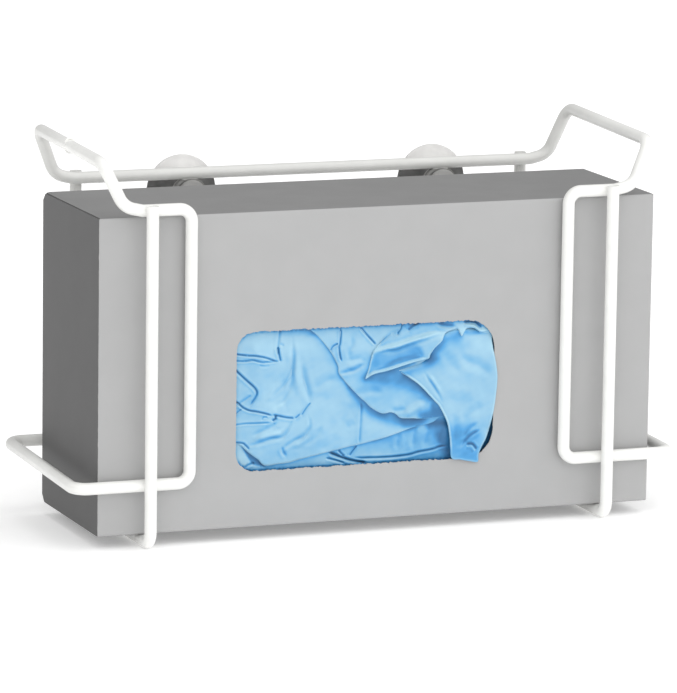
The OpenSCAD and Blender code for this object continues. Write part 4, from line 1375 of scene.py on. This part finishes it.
def pillow(p, run):
    """1 in the window, 0 at and beyond its edges."""
    return ease((from_edge(p) - EDGE_MARGIN) / run)


def cuff_over_edge(p):
    """1 where the front glove's cuff hangs out over the lower edge of the window."""
    return ease((p[:, 0] - CUFF_FROM) / 5) * ease((CUFF_BELOW - p[:, 1]) / 9)


def side_over_edge(p):
    """1 where the front glove's side hangs out over the right edge of the window."""
    beside = ease((SIDE_HALF - np.abs(p[:, 1] - SIDE_MIDDLE)) / 9)
    return ease((p[:, 0] - SIDE_FROM) / 13) * beside


def corner_gap(p):
    """1 where the stack drops away the most, at its lower right corner, 0 well away from it."""
    return bell((p[:, 0] - GAP_X) / 7) * bell((p[:, 1] - GAP_Z) / 8)


# %% Height of each skin before its creases
# How deep a skin lies at the window's edge, how far it swells out, and over what distance
SWELL = {
    "stack": (-2.4, 1.5, 12),
    "third": (-1.7, 1.55, 12),
    "second": (-1.35, 1.8, 11),
    "front": (-1.05, 2.3, 10),
    "finger": (-0.8, 2.6, 8),
}
SWELL_WAVES = {"third": (5, 30, 0.6), "second": (5, 30, 0.6), "front": (9, 40, 0.5)}
GAP_DEPTH = 2.5
SIDE_SHARE = 0.72  # the side lifts less than the cuff


def base_height(skin, p):
    """Behind the board at the window's edge, and swelling out through the window."""
    depth, swell, run = SWELL[skin]
    out = pillow(p, run)
    if skin == "front":
        out = either(out, either(cuff_over_edge(p), SIDE_SHARE * side_over_edge(p)))
    height = depth + swell * out
    if skin in SWELL_WAVES:
        height = height + pillow(p, 10) * soft_waves(p, *SWELL_WAVES[skin])
    if skin == "stack":
        # it sinks at the gap and bulges beside the lower end of the front glove's hem
        height = height - GAP_DEPTH * corner_gap(p) + soft_waves(p, 3, 22, 0.2)
        bulge = 0.7 * bell((p[:, 0] - 33) / 8) * ease((-12 - p[:, 1]) / 6)
        height = height + bulge * pillow(p, 5)
    if skin == "finger":
        height = height - 0.7 * ease((6 - p[:, 0]) / 9)  # its left end lies lower
    return height


# %% Neighbours and edges of each skin
# Painted shadow where one skin's edge lies on the skin below: (width, tone, line)
SHADES = {
    "third": [(0.9, 0.75, SEAM)],
    "second": [(1.2, 0.6, HEM), (0.8, 0.5, FINGER_EDGE[2:10])],
    "front": [(0.9, 0.55, FINGER_EDGE[9:])],
    "finger": [],
    "stack": [(0.8, 0.55, LOW_EDGE), (1.2, 0.2, HEM)],
}
# Folded edges that show, with the curl that takes them down to the skin below
ROLLED = {
    "third": LOW_EDGE,
    "second": SEAM,
    "front": HEM + CUFF_AND_SIDE,
    "finger": FINGER_EDGE,
    "stack": None,
}
ROLL = 0.8  # how far in from a folded edge its curl reaches
CURL_DROP = {"third": 0.5, "second": 0.45, "front": 1.0, "finger": 0.85}
SIGHT = np.array([-0.384, 0.197])  # how far a point moves across and up for each mm outward
# painted highlight along a folded lip
PAINTED_LIP_HIGHLIGHT = 0.35
EDGE_SHADE = {"third": 0.7, "second": 0.8, "front": 0.5, "finger": 0.8, "stack": 1.5}
LIGHT_WAY = np.array([0.5, 0.87])  # the way to the light, across and up
# painted shade from the film's slope toward the light
PAINTED_SLOPE_SHADE, SLOPE_STEP, STEEPEST = 0.75, 0.2, 1.2
DEEP = 0.8  # the painted shade from which the film darkens more slowly


# %% Height and tone at a place
def heights_and_painted_light(skin, p):
    """Height outward from the carton's front, and painted light and shade with random mottling, at
    places on the window.
    """
    height = base_height(skin, p)
    mottle_and_painted_light = np.zeros(len(p))
    # each crease paints shade into its fold, or a highlight where its tone is negative
    for width, rise, depth, line in CREASES[skin]:
        gap, share = off_line(p, curve_through(line, 0.6))
        taper = fades(share, 0.12 if width < 0.65 else 0.3)
        wide = width * (0.6 + 0.4 * taper)
        height += rise * taper * (bell(gap / wide) - 0.3 * bell((gap - 1.9 * wide) / wide))
        core = 0.85 if width < 0.65 else 0.5
        mottle_and_painted_light += depth * taper * (core * bell(gap / (0.65 * wide)) + 0.25 * bell(gap / (2.8 * wide)))
    for softness, rise, depth, outline in PATCHES[skin]:
        ring = curve_through(outline, 0.8, closed=True)
        gap, _ = off_line(p, np.vstack([ring, ring[:1]]))
        depth_in = np.where(inside(p, ring), gap, -gap)
        mask = ease(depth_in / (2 * softness) + 0.5)
        height += rise * mask
        mottle_and_painted_light += depth * mask
    # painted shadow beside the edge of the skin above
    for width, depth, line in SHADES[skin]:
        gap, share = off_line(p, curve_through(line, 0.8))
        shade = 0.6 * bell(gap / width) + 0.4 * bell(gap / (3 * width))
        mottle_and_painted_light += depth * shade * fades(share, 0.06)
    if ROLLED[skin]:
        gap, _ = off_line(p, curve_through(ROLLED[skin], 0.5))
        curl = 1 - np.sqrt(np.clip(1 - (1 - np.clip(gap / ROLL, 0, 1)) ** 2, 0, 1))
        height -= CURL_DROP[skin] * curl * pillow(p * 0.97, 4)
        # painted highlight along the folded lip
        mottle_and_painted_light -= PAINTED_LIP_HIGHLIGHT * bell((gap - 0.35) / 0.3)
    height += pillow(p, 8) * soft_waves(p, 21, 8, 0.12)
    # random mottling of the film's own colour
    mottle_and_painted_light += soft_waves(p, 22, 9, 0.12) + soft_waves(p, 23, 3.5, 0.08)
    # the torn edge of the board throws a thin ragged shade on the film
    covered = 1 - np.maximum(cuff_over_edge(p), side_over_edge(p)) if skin == "front" else 1
    depth_in = from_edge(p)
    upright = np.clip(np.abs(p[:, 1]) - WINDOW_H / 2 + 6, 0, 4) / 4
    x = p[:, 0]
    ragged_shade = 0.5 + 0.5 * np.sin(3.1 * x + 2.2 * np.sin(1.37 * x)) * np.sin(1.9 * x + 1)
    under_edge = EDGE_SHADE[skin] * bell((depth_in - 0.2) / 0.6) * covered
    mottle_and_painted_light += (0.25 + 0.75 * upright * ragged_shade) * under_edge
    # broader painted shade toward the top and bottom edges
    mottle_and_painted_light += 0.22 * upright * bell(depth_in / 2.4) * covered
    return height, mottle_and_painted_light


def film_look(skin, p):
    """Height and painted light. Film that rises toward the light gets painted shade, as if turned
    away from it.
    """
    height, mottle_and_painted_light = heights_and_painted_light(skin, p)
    ahead, _ = heights_and_painted_light(skin, p + LIGHT_WAY * SLOPE_STEP)
    behind, _ = heights_and_painted_light(skin, p - LIGHT_WAY * SLOPE_STEP)
    slope = np.clip((ahead - behind) / (2 * SLOPE_STEP), -STEEPEST, STEEPEST)
    mottle_and_painted_light = mottle_and_painted_light + PAINTED_SLOPE_SHADE * slope
    return height, np.where(mottle_and_painted_light > DEEP, DEEP + 0.6 * (mottle_and_painted_light - DEEP), mottle_and_painted_light)


# %% Points on a skin
GRID_PITCH = 0.85  # of the coarse grid between the creases
ROOM, RIM_ROOM = 0.24, 0.2  # the least distance between points, and from the outline
FLANKS = (0, 0.55, 1.1, 1.9, 2.8)  # rows of points beside a line, in widths of it


def skin_points(skin, outline):
    """Points in order of weight: creases first, then their flanks, patches and a coarse grid."""
    layers = []
    lines = [(w, curve_through(line, max(0.45, 0.8 * w))) for w, _, _, line in CREASES[skin]]
    lines += [(w, curve_through(line, 0.7)) for w, _, line in SHADES[skin]]
    if ROLLED[skin]:
        lines.append((0.35, curve_through(ROLLED[skin], 0.5)))
    for offset in FLANKS:
        for width, line in lines:
            along = np.gradient(line, axis=0)
            along /= np.maximum(np.linalg.norm(along, axis=1, keepdims=True), 1e-9)
            across = np.stack([-along[:, 1], along[:, 0]], 1) * width * offset
            layers += [line + across, line - across] if offset else [line]
    for softness, _, _, ring in PATCHES[skin]:
        layers.append(curve_through(ring, 0.8, closed=True))
    low, high = outline.min(0), outline.max(0)
    xs, zs = np.meshgrid(
        np.arange(low[0], high[0], GRID_PITCH), np.arange(low[1], high[1], GRID_PITCH * 0.866)
    )
    xs = xs + (np.arange(len(zs)) % 2)[:, None] * GRID_PITCH / 2
    layers.append(np.stack([xs.ravel(), zs.ravel()], 1))
    points = np.vstack(layers)
    points = points[inside(points, outline)]
    gap, _ = off_line(points, np.vstack([outline, outline[:1]]))
    points = points[gap > RIM_ROOM]
    kept, cells = [], {}
    for x, z in points:
        i, j = int(x // ROOM), int(z // ROOM)
        near = (cells.get((i + a, j + b)) for a in (-1, 0, 1) for b in (-1, 0, 1))
        if all(q is None or (q[0] - x) ** 2 + (q[1] - z) ** 2 > ROOM**2 for q in near):
            cells[i, j] = (x, z)
            kept.append((x, z))
    return np.array(kept)


# %% Triangles between the points
def skin_mesh(skin):
    """One skin's points in metres, triangles, painted light and mottle values and places on the
    flat drawing in mm.
    """
    if skin == "stack":
        outline = np.array(OUTLINES[skin], float)
    else:
        outline = curve_through(OUTLINES[skin], 0.5, closed=True)
    flat = np.vstack([outline, skin_points(skin, outline)])
    verts, _, faces, *_ = delaunay_2d_cdt(
        [Vector(p) for p in flat], [], [list(range(len(outline)))], 1, 1e-4
    )
    places = np.array([tuple(v) for v in verts])
    height, mottle_and_painted_light = film_look(skin, places)
    shift = places + height[:, None] * SIGHT
    across, up = DRAWN_X + shift[:, 0], WINDOW_Z + shift[:, 1]
    points = np.stack([across, CARTON_LOW.y - height, up], 1) * MM
    return points, [tuple(f) for f in faces], mottle_and_painted_light, places


def glove_sheet(name, skins):
    """One object from one or more skins, facing outward, and its flat area in square mm."""
    points, faces, painted_lights, area = [], [], [], 0.0
    for skin in skins:
        p, f, t, flat = skin_mesh(skin)
        base = sum(len(q) for q in points)
        points.append(p)
        painted_lights.append(t)
        faces += [tuple(i + base for i in face) for face in f]
        first, second, third = np.moveaxis(flat[np.array(f)], 1, 0)
        area += float(np.abs(np.cross(second - first, third - first)).sum()) / 2
    mesh = bpy.data.meshes.new(name)
    mesh.from_pydata(np.vstack(points).tolist(), [], faces)
    mesh.update()
    if sum(face.normal.y * face.area for face in mesh.polygons) > 0:
        mesh.flip_normals()
    mesh.attributes.new("mottle_and_painted_light", "FLOAT", "POINT").data.foreach_set("value", np.concatenate(painted_lights))
    piece = bpy.data.objects.new(name, mesh)
    bpy.context.scene.collection.objects.link(piece)
    smooth(piece, 180)
    print(f"{name}: {len(faces)} triangles, {area:.0f} square mm flat")
    return piece, area


# %% The three loose gloves
for name, skins, node in (
    ("third_skin", ["third"], "third_glove"),
    ("second_skin", ["second"], "second_glove"),
    ("front_skin", ["front", "finger"], "front_glove"),
):
    piece, area = glove_sheet(name, skins)
    finish_piece(piece, film, slot="glove_film", replaces=[node])
    side = math.sqrt(area) * MM

# %% [markdown]
# ### The pack behind them
#
# The rest of the hundred gloves lie interleaved in the carton as one soft block. Its face
# in the window is made like the other skins, and its sides are a block with the folded
# edges of the gloves running round it as fine steps.

# %% The pack
PACK_ROOM, PACK_HEADROOM, PACK_GAP, PACK_BEHIND = 3.0, 9.0, 0.1, 4.9
PACK_ROUND, PACK_CUTS = 4, 4
FOLD_PITCH, FOLD_DEPTH = 3.4, 0.006  # mm from one folded edge to the next, share it steps in
pack_low = Vector(
    (
        CARTON_LOW.x + 2 * BOARD + PACK_ROOM,
        CARTON_LOW.y + PACK_BEHIND,
        CARTON_LOW.z + BOARD + PACK_GAP,
    )
)
pack_high = Vector(
    (
        CARTON_HIGH.x - 2 * BOARD - PACK_ROOM,
        CARTON_HIGH.y - BOARD - PACK_GAP,
        CARTON_HIGH.z - BOARD - PACK_HEADROOM,
    )
)
pack_middle = (pack_low + pack_high) / 2
pack = block("glove_pack", pack_middle, pack_high - pack_low)
edit(pack)
bpy.ops.mesh.select_all(action="SELECT")
bpy.ops.mesh.bevel(offset=PACK_ROUND * MM, segments=4)
for _ in range(PACK_CUTS):
    pick(
        pack,
        "edges",
        lambda e: runs_along(e, "y") and (e.verts[0].co - e.verts[1].co).length > 2 * MM,
    )
    bpy.ops.mesh.subdivide(number_cuts=1)
bpy.ops.object.mode_set(mode="OBJECT")
centre = pack_middle * MM
for vertex in pack.data.vertices:
    depth = vertex.co.y / MM
    if pack_low.y + 2 < depth < pack_high.y - 2:
        step = 0.5 + 0.5 * math.sin(depth * 2 * math.pi / FOLD_PITCH)
        for axis in (0, 2):
            vertex.co[axis] += (centre[axis] - vertex.co[axis]) * FOLD_DEPTH * step
face_piece, _ = glove_sheet("pack_face", ["stack"])
pack = join(pack, face_piece)
smooth(pack, 50)
finish_piece(pack, film, slot="glove_film", replaces=["glove_stack"])
